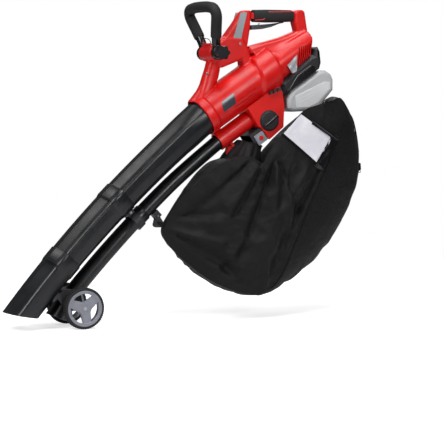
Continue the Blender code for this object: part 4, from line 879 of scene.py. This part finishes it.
def makeBag():
    b = leafBag
    count = b["across"]
    edge = closedCurve(bagEdge, count)
    panels = {-1: closedCurve(nearEdge, count), 1: closedCurve(farEdge, count)}
    mx, mz = b["middle"]

    def relief(p, side, weight):
        # fine crumple plus the drawn folds, along y; tight near the top, flat under the pocket
        x, z = p.x - machine["shiftX"], p.z - machine["lift"]
        fold = sum(h * foldAlong(x, z, s, e, w) for s, e, w, h in panelFolds)
        tight = 0.35 if z > 0.44 + 0.25 * (0.25 - x) else 1.0
        small = b["crumple"] * (0.5 * ripple(p, 0.085, 3.1 * side) + 0.55 * ridged(p, 0.055, 7.7 * side)
                                + 0.26 * ridged(p, 0.023, 1.7 * side))
        under = math.exp(-(((x - 0.215) / 0.085) ** 4 + ((z - 0.5) / 0.075) ** 4)) if side < 0 else 0.0
        return (1.35 * fold + small * tight) * weight * (1 - 0.8 * under)

    def halfDepth(x, z):
        # the bag thins towards its front corner, and at the top behind the battery
        t = min(max((x + 0.19) / 0.24, 0.0), 1.0)
        depth = b["frontDepth"] + (b["half"] - b["frontDepth"]) * (t * t * (3 - 2 * t)) ** 0.8
        high = min(max((z - 0.55) / 0.07, 0.0), 1.0) * min(max((x - 0.27) / 0.06, 0.0), 1.0)
        return depth * (1 - 0.45 * high)

    def panelRing(side, f):
        ring = []
        f = 0.02 + 0.98 * f
        for px, pz in panels[side]:
            x, z = mx + (px - mx) * f, mz + (pz - mz) * f
            dome = halfDepth(x, z) + (b["bulge"] - b["half"]) * (1 - f ** 2.4)
            p = place(x, z, side * dome)
            p.y += side * relief(p, side, min(1.0, (1 - f) * 7.0))
            past = abs(p.y) - b["outerLimit"]
            if past > 0:
                p.y = side * (b["outerLimit"] + b["softening"] * math.tanh(past / b["softening"]))
            ring.append(p)
        return ring

    # rings from the middle of the near panel, over its seam, across the gusset to the far panel
    shares = [k / (b["panelSteps"] - 1) for k in range(b["panelSteps"])]
    rings = [panelRing(-1, f) for f in shares]
    for k in range(1, b["gussetSteps"]):
        g = k / b["gussetSteps"]
        side = -1 if g <= 0.5 else 1
        swell = math.sin(math.pi * g) ** 0.62
        ring = []
        for j in range(count):
            px, pz = panels[side][j]
            ex, ez = edge[j]
            near, far = halfDepth(*panels[-1][j]), halfDepth(*panels[1][j])
            y = -near + (near + far) * g
            p = place(px + (ex - px) * swell, pz + (ez - pz) * swell, y)
            out = Vector((ex - mx, 0, ez - mz)).normalized()
            wrinkle = b["wrinkle"] * ridged(Vector((p.x, p.y * 0.4, p.z)), 0.045, 5.5) - b["wrinkle"]
            p += out * wrinkle * math.sin(math.pi * g) ** 0.5
            ring.append(p)
        rings.append(ring)
    rings += [panelRing(1, f) for f in reversed(shares)]
    makePiece("bagShell", *loft(rings), bagPolyester, replaces=["leaf_bag"], sharp=60.0)
    # bound seam along the edge of each panel
    for side in (-1, 1):
        first, last = (int(count * share) for share in b["boundSeam"])
        path = [place(x, z, side * (halfDepth(x, z) + 0.0002)) for x, z in panels[side][first:last]]
        makePiece(f"bagPiping{sideNames[side]}", *sweep(path, b["pipeRadius"], 6), paintedShadePolyester)


def makeNeck():
    # gathered sleeve from the outlet adaptor into the bag, held by an elastic hem
    spine = [(0.0835, 0.4835, 0.034, 0.0345), (0.082, 0.479, 0.036, 0.0375),
             (0.074, 0.463, 0.042, 0.048), (0.062, 0.443, 0.048, 0.058), (0.05, 0.42, 0.054, 0.068),
             (0.042, 0.396, 0.056, 0.072)]
    centres = smoothPath([(x, 0.0, z) for x, z, w, d in spine], 6)
    rings = []
    for i, c in enumerate(centres):
        f = i / (len(centres) - 1)
        at = f * (len(spine) - 1)
        k = min(int(at), len(spine) - 2)
        w = spine[k][2] + (spine[k + 1][2] - spine[k][2]) * (at - k)
        d = spine[k][3] + (spine[k + 1][3] - spine[k][3]) * (at - k)
        ahead = (centres[min(i + 1, len(centres) - 1)] - centres[max(i - 1, 0)]).normalized()
        across = Vector((ahead.z, 0, -ahead.x))
        ring = []
        for a in angles(120):
            gather = math.sin(13 * a + 2.0 * noise.noise(Vector((f * 3, a, 0.3)))) * 0.0017
            gather += 0.003 * noise.noise(Vector((3.2 * math.cos(a), 3.2 * math.sin(a), f * 2.4)))
            gather *= 0.35 + 1.2 * f if i > 2 else 0.5
            p = c + across * (w + gather) * math.cos(a) + Vector((0, 1, 0)) * (d + gather) * math.sin(a)
            ring.append(place(p.x, p.z, p.y))
        rings.append(ring)
    inner = [[p + (sum(r, Vector()) / len(r) - p) * 0.03 for p in r] for r in rings]
    makePiece("bagNeck", *pipe(rings, inner), bagPolyester, sharp=60.0)
    makePiece("bagNeckHem", *sweep(rings[1], 0.0024, 6, closed=True), paintedShadePolyester)


def flatPatch(corners, y, thick, bow=0.0, steps=24, lift=0.0):
    # thin curved sheet across four design points; bow pushes its middle outward
    a, b, c, d = [Vector((x, 0.0, z)) for x, z in corners]
    verts, faces, n = [], [], steps + 1
    for offset in (-thick / 2, thick / 2):
        for i in range(n):
            for j in range(n):
                u, w = i / steps, j / steps
                p = a.lerp(b, u).lerp(d.lerp(c, u), w)
                wave = bow * math.sin(math.pi * u) * math.sin(math.pi * w)
                wave += 0.0012 * math.sin(5.0 * u + 2.0 * w) + 0.0008 * math.sin(9.0 * w - 3.0 * u)
                verts.append(place(p.x, p.z, y - wave - lift + offset))
    for base in (0, n * n):
        for i in range(steps):
            for j in range(steps):
                q = [base + i * n + j, base + (i + 1) * n + j, base + (i + 1) * n + j + 1, base + i * n + j + 1]
                faces.append(tuple(reversed(q)) if base else tuple(q))
    rim = [i * n for i in range(n)] + [(n - 1) * n + j for j in range(1, n)] + \
          [i * n + n - 1 for i in range(n - 2, -1, -1)] + [j for j in range(n - 2, 0, -1)]
    faces += [(p, q, n * n + q, n * n + p) for p, q in zip(rim, rim[1:] + rim[:1])]
    return verts, faces


makeBag()
makeNeck()
pocket = {
    "depth": -0.101,
    "window": [(0.191, 0.566), (0.289, 0.5), (0.24, 0.431), (0.137, 0.513)],
    "rightStrip": [(0.286, 0.505), (0.31, 0.489), (0.258, 0.416), (0.238, 0.432)],
    "topStrip": [(0.228, 0.549), (0.308, 0.501), (0.302, 0.489), (0.222, 0.538)],
    "footCurl": [(0.241, 0.435), (0.263, 0.421), (0.253, 0.408), (0.23, 0.424)],
}
makePiece("pocketWindow", *flatPatch(pocket["window"], pocket["depth"], 0.0009, bow=0.003), clearVinyl)
for name, lift, bow in (("rightStrip", 0.001, 0.002), ("topStrip", 0.0022, 0.002), ("footCurl", 0.002, 0.004)):
    patch = flatPatch(pocket[name], pocket["depth"], 0.001, bow=bow, lift=lift)
    makePiece(f"pocket{name[0].upper()}{name[1:]}", *patch, vinylTrim)
# stitched hem round the window
hem = [place(x, z, pocket["depth"] - 0.0006) for x, z in pocket["window"]]
makePiece("pocketHem", *sweep(hem, 0.0011, 6, closed=True), paintedShadePolyester)
print("bag lofted")


# bail and its ribbed grip
bail = {"lean": 14.0, "radius": 0.0119, "top": 0.128, "wide": 0.088, "leg": 0.0452,
        "hubFrom": 0.0386, "hubTo": 0.0572, "hubRadius": 0.0198, "seatRadius": 0.032, "voxel": 0.0012, "soften": 5,
        "gripFrom": 0.04, "gripRadius": 0.015, "ribPitch": 0.0032, "ribDepth": 0.0007}


def bailSpot(y, h):
    lean = math.radians(bail["lean"])
    px, pz = housing["pivot"]
    return place(px - h * math.sin(lean), pz + h * math.cos(lean), y)


def ribbedSweep(points, radius, pitch, depth, sides=28):
    # bar along points whose radius ripples at an even pitch
    path = [Vector(p) for p in points]
    walk = [0.0]
    for a, b in zip(path, path[1:]):
        walk.append(walk[-1] + (b - a).length)
    count = int(walk[-1] / pitch * 4)
    fine = []
    k = 0
    for i in range(count + 1):
        want = walk[-1] * i / count
        while k < len(path) - 2 and walk[k + 1] < want:
            k += 1
        span = max(walk[k + 1] - walk[k], 1e-6)
        fine.append(path[k].lerp(path[k + 1], (want - walk[k]) / span))
    v, f = sweep(fine, radius, sides)
    rings = [v[i * sides:(i + 1) * sides] for i in range(len(fine))]
    out = []
    for i, ring in enumerate(rings):
        c = sum((Vector(p) for p in ring), Vector()) / sides
        ends = min(i, len(rings) - 1 - i)
        swell = -depth * (0.5 - 0.5 * math.cos(2 * math.pi * i / 4)) if ends > 3 else -depth * (1 - ends / 4) * 2.0
        out.append([c + (Vector(p) - c) * (1 + swell / radius) for p in ring])
    return loft(out)


def makeBail():
    top, wide, leg = bail["top"], bail["wide"], bail["leg"]
    half = [(-leg, 0.000), (-leg, 0.026), (-wide + 0.024, 0.062), (-wide + 0.006, top - 0.036),
            (-wide + 0.001, top - 0.024), (-wide + 0.004, top - 0.013), (-wide + 0.014, top - 0.0055),
            (-wide + 0.03, top - 0.003), (-0.03, top - 0.0005)]
    whole = half + [(-y, h) for y, h in half[::-1]]
    path = smoothPath([(y, h, 0.0) for y, h in whole], 8)
    legs = [bailSpot(p.x, p.y) for p in path]
    tubes = sweep(legs, bail["radius"], 24)
    a, b, r = bail["hubFrom"], bail["hubTo"], bail["hubRadius"]
    hubs = [lathe([(side * y, radius) for y, radius in ((a, 0.0), (a, r - 0.0013), (a + 0.001, r), (b - 0.0015, r),
                                                        (b, r - 0.0013), (b, 0.0))], housing["pivot"])
            for side in (-1, 1)]
    hoop = castInOne("bailHoop", [tubes, *hubs], bail["voxel"], bail["soften"], glossAbs, body="bail",
                     replaces=["bail_handle"])
    # room for the head between the legs, and the bolt's bore
    cutEach(hoop, [lathe([(-half, 0.0), (-half, r), (half, r), (half, 0.0)], housing["pivot"], segments)
                   for half, r, segments in ((0.0384, bail["seatRadius"], 48), (0.07, housing["boltBore"], 24))])
    sharpen(hoop)
    grip = [bailSpot(p.x, p.y) for p in path if p.y > bail["gripFrom"]]
    makePiece("bailRibbedGrip", *ribbedSweep(grip, bail["gripRadius"], bail["ribPitch"], bail["ribDepth"]),
              softRubber, body="bail", replaces=["bail_grip"], sharp=50.0)


makeBail()

# labels and small trim


def barrelLabel():
    # blank dark label wrapped on the barrel's near side
    r = housing["barrelRadius"] + 0.0002
    rings = []
    for i in range(13):
        u = i / 12
        front, back = [], []
        for j in range(13):
            w = j / 12
            s = 0.028 + 0.044 * u + 0.01 * (1 - w)
            a = math.radians(74 + 29 * w)
            for radius, row in ((r + 0.0004, front), (r - 0.0006, back)):
                row.append(alongFan(s, radius * math.cos(a), -radius * math.sin(a)))
        rings.append(front + back[::-1])
    makePiece("barrelLabel", *loft(rings), labelFilm)


barrelLabel()
silverLabel = [(0.203, 0.727), (0.1745, 0.6975), (0.19, 0.676), (0.202, 0.682)]
makePiece("motorLabel", *flatPatch(silverLabel, -0.0518, 0.0026, steps=10), labelSilver)
for k in range(3):
    x, z = 0.122 + 0.0125 * k, 0.6175 + 0.0045 * k
    slot = [(x, z), (x + 0.0085, z + 0.003), (x + 0.0085, z + 0.012), (x, z + 0.009)]
    makePiece(f"drumVent{k + 1}", *slab(slot, -0.05, -0.043), blackNylon)
# wire triangle on the bag's top edge, zip and its puller
triangle = [place(0.251, 0.582, -0.066), place(0.265, 0.571, -0.068), place(0.289, 0.602, -0.06)]
makePiece("bagTriangleRing", *sweep(triangle, 0.0012, 8, closed=True), springWire)
zipLine = [(0.352, 0.604), (0.384, 0.576), (0.411, 0.538), (0.427, 0.44), (0.411, 0.345)]
zipPath = smoothPath([(x, 0, z) for x, z in zipLine], 10)
makePiece("bagZip", *sweep([place(p.x, p.z, 0.0) for p in zipPath], 0.0022, 8), vinylTrim)
tag = [(0.428, 0.424), (0.433, 0.422), (0.4345, 0.404), (0.429, 0.402)]
makePiece("zipPuller", *slab(tag, -0.0035, 0.0035), vinylTrim)
eye = [place(0.4318 + 0.0028 * math.cos(a), 0.3985 + 0.0035 * math.sin(a)) for a in angles(16)]
makePiece("zipPullerEye", *sweep(eye, 0.0009, 8, closed=True), springWire)
print("bail, labels and trim made")


# battery pack, foot and trigger
def alongAxis(s, t):
    p = alongFan(s, t)
    return p.x - machine["shiftX"], p.z - machine["lift"]


def makeBattery():
    shell = [(0.184, 0.606), (0.1975, 0.628), (0.28, 0.6815), (0.302, 0.685), (0.32, 0.674),
             (0.327, 0.66), (0.327, 0.63), (0.286, 0.585), (0.256, 0.572), (0.2, 0.57),
             (0.184, 0.579)]
    makePiece("packShell", *chamferedSlab(shell, 0.0375, 0.007), packAbs, body="battery",
              replaces=["battery_case"], bevel=(0.0025, 3))
    cells = [(0.2, 0.606), (0.21, 0.62), (0.3, 0.658), (0.312, 0.65), (0.308, 0.632),
             (0.204, 0.586)]
    makePiece("cellBlock", *slab(cells, -0.032, 0.032), greyAbs, body="battery", replaces=["cell_block"])
    for side in (-1, 1):
        tag, y = sideNames[side], side * 0.038
        panel = [(0.206, 0.614), (0.296, 0.653), (0.314, 0.652), (0.314, 0.634), (0.278, 0.596),
                 (0.248, 0.583), (0.208, 0.582)]
        makePiece(f"packPanel{tag}", *slab(panel, y - 0.0006, y + 0.0006), packLight, body="battery",
                  bevel=(0.0005, 2))
        for k, (a, b, up) in enumerate(((0.215, 0.258, 0.0), (0.213, 0.262, -0.01), (0.216, 0.268, -0.019),
                                        (0.276, 0.3, 0.0))):
            bar = [(x, 0.615 + 0.43 * (x - 0.215) + up + lift) for x, lift in
                   ((a, 0.0), (b, 0.0), (b, -0.0017), (a, -0.0017))]
            makePiece(f"packBar{tag}{k + 1}", *slab(bar, y - 0.001, y + 0.001), packWhite, body="battery")


def makeFoot():
    # black foot: a saddle under the motor that ends in the pack's rail block
    saddle = [(0.163, 0.648), (0.167, 0.63), (0.18, 0.6195), (0.2, 0.634), (0.27, 0.6798),
              (0.285, 0.689), (0.29, 0.706), (0.286, 0.738), (0.279, 0.75), (0.268, 0.746),
              (0.264, 0.728), (0.256, 0.726), (0.21, 0.69)]
    inner = [(0.179, 0.63), (0.185, 0.621), (0.201, 0.633), (0.26, 0.6715), (0.272, 0.681),
             (0.268, 0.698), (0.254, 0.702), (0.208, 0.674)]
    makePiece("footSaddle", *chamferedSlab(saddle, 0.0385, 0.01), blackNylon, replaces=["battery_foot"],
              bevel=(0.004, 4))
    makePiece("footRailBlock", *chamferedSlab(inner, 0.0402, 0.0045), glossAbs, bevel=(0.002, 3))


makeBattery()
makeFoot()


def makeTrigger():
    lever = [(0.085, 0.808), (0.0845, 0.7985), (0.086, 0.7955), (0.118, 0.7975), (0.146, 0.8035),
             (0.17, 0.8125), (0.184, 0.816), (0.184, 0.8172), (0.15, 0.8128), (0.115, 0.8096)]
    makePiece("triggerLever", *chamferedSlab(lever, 0.0092, 0.0016), greyAbs, body="trigger_lever",
              replaces=["trigger"], bevel=(0.0006, 2))
    for k in range(6):
        x, z = 0.088 + 0.0042 * k, 0.7962 + 0.0003 * k
        rib = sweep([place(x, z, -0.0085), place(x, z, 0.0085)], 0.0011, 8)
        makePiece(f"triggerRib{k + 1}", *rib, greyAbs, body="trigger_lever")


makeTrigger()


def makeGrip():
    # rubber sleeve round the rail, with a stepped red line moulded into each side
    outer, inner = [], []
    for x, half, low, high in ((0.0915, 0.014, 0.8195, 0.847), (0.093, 0.0165, 0.8165, 0.85),
                               (0.13, 0.0176, 0.8155, 0.8512), (0.17, 0.0176, 0.8165, 0.8512),
                               (0.207, 0.017, 0.8185, 0.851), (0.213, 0.016, 0.82, 0.8495),
                               (0.214, 0.014, 0.822, 0.8475)):
        mid, tall = (low + high) / 2, (high - low) / 2
        loop = [squarish(a, 0.75) for a in angles(40)]
        outer.append([place(x, mid + tall * d, half * c) for c, d in loop])
        inner.append([place(x, mid + 0.008 * d, 0.0108 * c) for c, d in loop])
    makePiece("gripSleeve", *pipe(outer, inner), softRubber, replaces=["rear_grip"], sharp=50.0)
    for side in (-1, 1):
        line = [(0.0925, 0.8215), (0.119, 0.8235), (0.135, 0.844), (0.2125, 0.8465)]
        path = [place(x, z, side * (0.0163 if x < 0.13 else 0.015)) for x, z in line]
        makePiece(f"gripLine{sideNames[side]}", *sweep(path, 0.0011, 8), redAbs)


makeGrip()

# the knob's recess ring, a black ring of painted shade round the knob, then its grip bar, screw heads and the
# barrel's lug
knobAt = alongAxis(0.136, -0.111)


# painted shade: a thin black ring stands in for the shadow inside the knob's recess
v, f = lathe([(-0.0398, 0.0262), (-0.042, 0.0262), (-0.0424, 0.0272), (-0.042, 0.0284), (-0.0398, 0.0288)],
             knobAt, 64, closed=True)
makePiece("knobRecessShadowRing", v, f, blackNylon)
# grip bar across the selector knob
bar = []
for along, aside in ((-0.0245, -0.0036), (0.0245, -0.0036), (0.0245, 0.0036), (-0.0245, 0.0036)):
    turn = math.radians(38.0)
    bar.append((knobAt[0] + along * math.cos(turn) - aside * math.sin(turn),
                knobAt[1] + along * math.sin(turn) + aside * math.cos(turn)))
v, f = chamferedSlab(bar, 0.003, 0.0018)
v = [(p[0], p[1] - 0.0558, p[2]) for p in v]
makePiece("knobGripBar", v, f, glossAbs, body="selector_valve", bevel=(0.0008, 2))
bossSpots = {"pivotScrew": (0.006, 0.741, -0.0202), "strutScrew": (-0.052, 0.676, -0.019),
             "frameScrew": (0.046, 0.756, -0.02), "postScrew": (0.236, 0.77, -0.0182)}
for name, (x, z, y) in bossSpots.items():
    inside, face, radius, crown = y + 0.002, y - 0.0008, 0.0032, 0.0004
    profile = [(inside, 0.0), (inside, radius), (face + crown, radius), (face, radius - crown), (face, 0.0)]
    makePiece(name, *lathe(profile, (x, z), 24), turnedSteel)
# lug under the barrel
lug = [alongAxis(s, t) for s, t in ((0.108, -0.05), (0.148, -0.05), (0.141, -0.0625), (0.114, -0.0625))]
makePiece("barrelLug", *chamferedSlab(lug, 0.013, 0.003), redAbs, bevel=(0.0012, 2))
print("pack, foot, trigger and grip made")


# wheels
wheel = {"centre": (-0.4313, 0.0594), "rim": 0.0476, "rimInner": 0.0392, "treads": 56,
         "treadDepth": 0.0011,
         "arms": (160.0, 40.0, 280.0), "armHalf": 0.0104, "valley": 0.0185}


def wheelStar(grow=0.0):
    # three-armed plate: broad arms with a hollow curve between each pair
    order = sorted(wheel["arms"])
    outline = []
    for angle in order:
        a = math.radians(angle)
        out, side = (math.cos(a), math.sin(a)), (-math.sin(a), math.cos(a))
        reach, half = wheel["rimInner"] + 0.003 + grow * 3, wheel["armHalf"] + grow
        for sign in (-1, 1):
            outline.append((reach * out[0] + sign * half * side[0], reach * out[1] + sign * half * side[1]))
        b = math.radians(angle + 60.0)
        tail = wheel["valley"] + grow
        for bend in (-9.0, 9.0):
            c = b + math.radians(bend)
            outline.append((tail * math.cos(c), tail * math.sin(c)))
    cx, cz = wheel["centre"]
    return [(cx + x, cz + z) for x, z in outline]


def makeWheel(side, tag):
    cx, cz = wheel["centre"]
    body = f"wheel_{tag}"
    tread = []
    for k, a in enumerate(angles(wheel["treads"] * 4)):
        low = wheel["treadDepth"] if k % 4 == 0 else 0.0
        ring = []
        for y, r in ((0.054, 0.047), (0.0535, 0.051), (0.0545, 0.0538 - low), (0.058, 0.0551 - low),
                     (0.064, 0.0552 - low), (0.066, 0.0552 - low), (0.072, 0.0551 - low), (0.0755, 0.0538 - low),
                     (0.0766, 0.051), (0.0762, 0.0482), (0.075, 0.047)):
            ring.append(place(cx + r * math.cos(a), cz + r * math.sin(a), side * y))
        tread.append(ring)
    makePiece(f"tyre{tag.title()}Tread", *loft(tread, closed=True), tyreRubber, body=body, replaces=[f"tyre_{tag}"],
              sharp=30.0)
    r, inner = wheel["rim"], wheel["rimInner"]
    ringSolid = lathe([(side * y, rr) for y, rr in ((0.055, r), (0.0756, r), (0.0766, r - 0.0008),
                                                    (0.0766, r - 0.003), (0.0758, r - 0.0036),
                                                    (0.0758, inner + 0.0012), (0.0746, inner),
                                                    (0.055, inner + 0.001))],
                      (cx, cz), 96, closed=True)
    makePiece(f"rimRing{tag.title()}", *ringSolid, silverAbs, body=body, replaces=[f"rim_{tag}"], sharp=30.0)
    for name, y0, y1, grow, bevel in (("rimStar", 0.066, 0.0748, 0.0, (0.0012, 3)),
                                      ("rimInlay", 0.0745, 0.0757, -0.0032, (0.0005, 2))):
        near, far = sorted((side * y0, side * y1))
        makePiece(f"{name}{tag.title()}", *slab(wheelStar(grow), near, far), silverAbs, body=body, bevel=bevel)
    for name, profile, replaced in (
            ("rimHub", ((0.0545, 0.0), (0.0545, 0.01), (0.07, 0.011), (0.07, 0.0)), ()),
            ("hubCap", ((0.075, 0.0), (0.075, 0.0062), (0.0768, 0.0058), (0.0772, 0.0)), [f"wheel_cap_{tag}"])):
        makePiece(f"{name}{tag.title()}", *lathe([(side * y, r) for y, r in profile], (cx, cz), 32), silverAbs,
                  body=body, replaces=replaced)


for side, tag in ((-1, "left"), (1, "right")):
    makeWheel(side, tag)
# corner loop of the bag, held by the front buckle
loop = [(-0.196, 0.2715), (-0.193, 0.277), (-0.17, 0.27), (-0.15, 0.262), (-0.15, 0.24), (-0.172, 0.256)]
makePiece("bagCornerLoop", *chamferedSlab(loop, 0.009, 0.003), bagPolyester, bevel=(0.0015, 2))
print("wheels made")


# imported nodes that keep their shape
finishes = {
    redAbs: "housing_left housing_right selector_left selector_right release_tab bag_button battery_latch",
    blackNylon: "bearing_carrier impeller tube_clip axle_bracket trigger_switch battery_foot bag_adaptor "
                "front_hook front_buckle rear_hook mode_knob mode_flap",
    glossAbs: "bail_handle clamp_knob clamp_cap",
    tubePolypropylene: "suction_tube_upper suction_tube_lower suction_nozzle blower_tube_upper "
                       "blower_tube_lower",
    tyreRubber: "tyre_left tyre_right",
    softRubber: "rear_grip bail_grip",
    greyAbs: "trigger cell_block",
    paleGreyAbs: "latch_plate",
    silverPaint: "stripe_left stripe_right",
    silverAbs: "rim_left rim_right wheel_cap_left wheel_cap_right",
    turnedSteel: "bearing_front bearing_rear motor_shaft impeller_nut clip_screw axle "
                 "trigger_pin clamp_bolt hook_pin tab_pin",
    springWire: "trigger_spring strap_ring",
    laminatedSteel: "motor_stator motor_rotor",
    packAbs: "battery_case",
    circuitBoard: "control_board",
    bagPolyester: "leaf_bag",
    webbing: "bag_strap",
}
softened = {"battery_case": 0.0022, "battery_foot": 0.0022, "bag_adaptor": 0.001, "latch_plate": 0.0007,
            "selector_left": 0.001, "selector_right": 0.001, "release_tab": 0.0008, "clamp_knob": 0.0012,
            "mode_knob": 0.0012, "trigger": 0.0008, "rear_grip": 0.0012, "rim_left": 0.0006, "rim_right": 0.0006,
            "tyre_left": 0.0012, "tyre_right": 0.0012, "tube_clip": 0.0008, "axle_bracket": 0.001,
            "front_hook": 0.0006, "front_buckle": 0.0005, "rear_hook": 0.0006, "bag_strap": 0.0003,
            "clamp_cap": 0.0008, "bag_button": 0.0005, "battery_latch": 0.0005, "wheel_cap_left": 0.0008,
            "wheel_cap_right": 0.0008}
for finish, names in finishes.items():
    for name in names.split():
        nodes[name].data.materials.clear()
        nodes[name].data.materials.append(finish)
        if name in softened:
            bevelEdges(nodes[name], softened[name])
print("packed nodes painted")
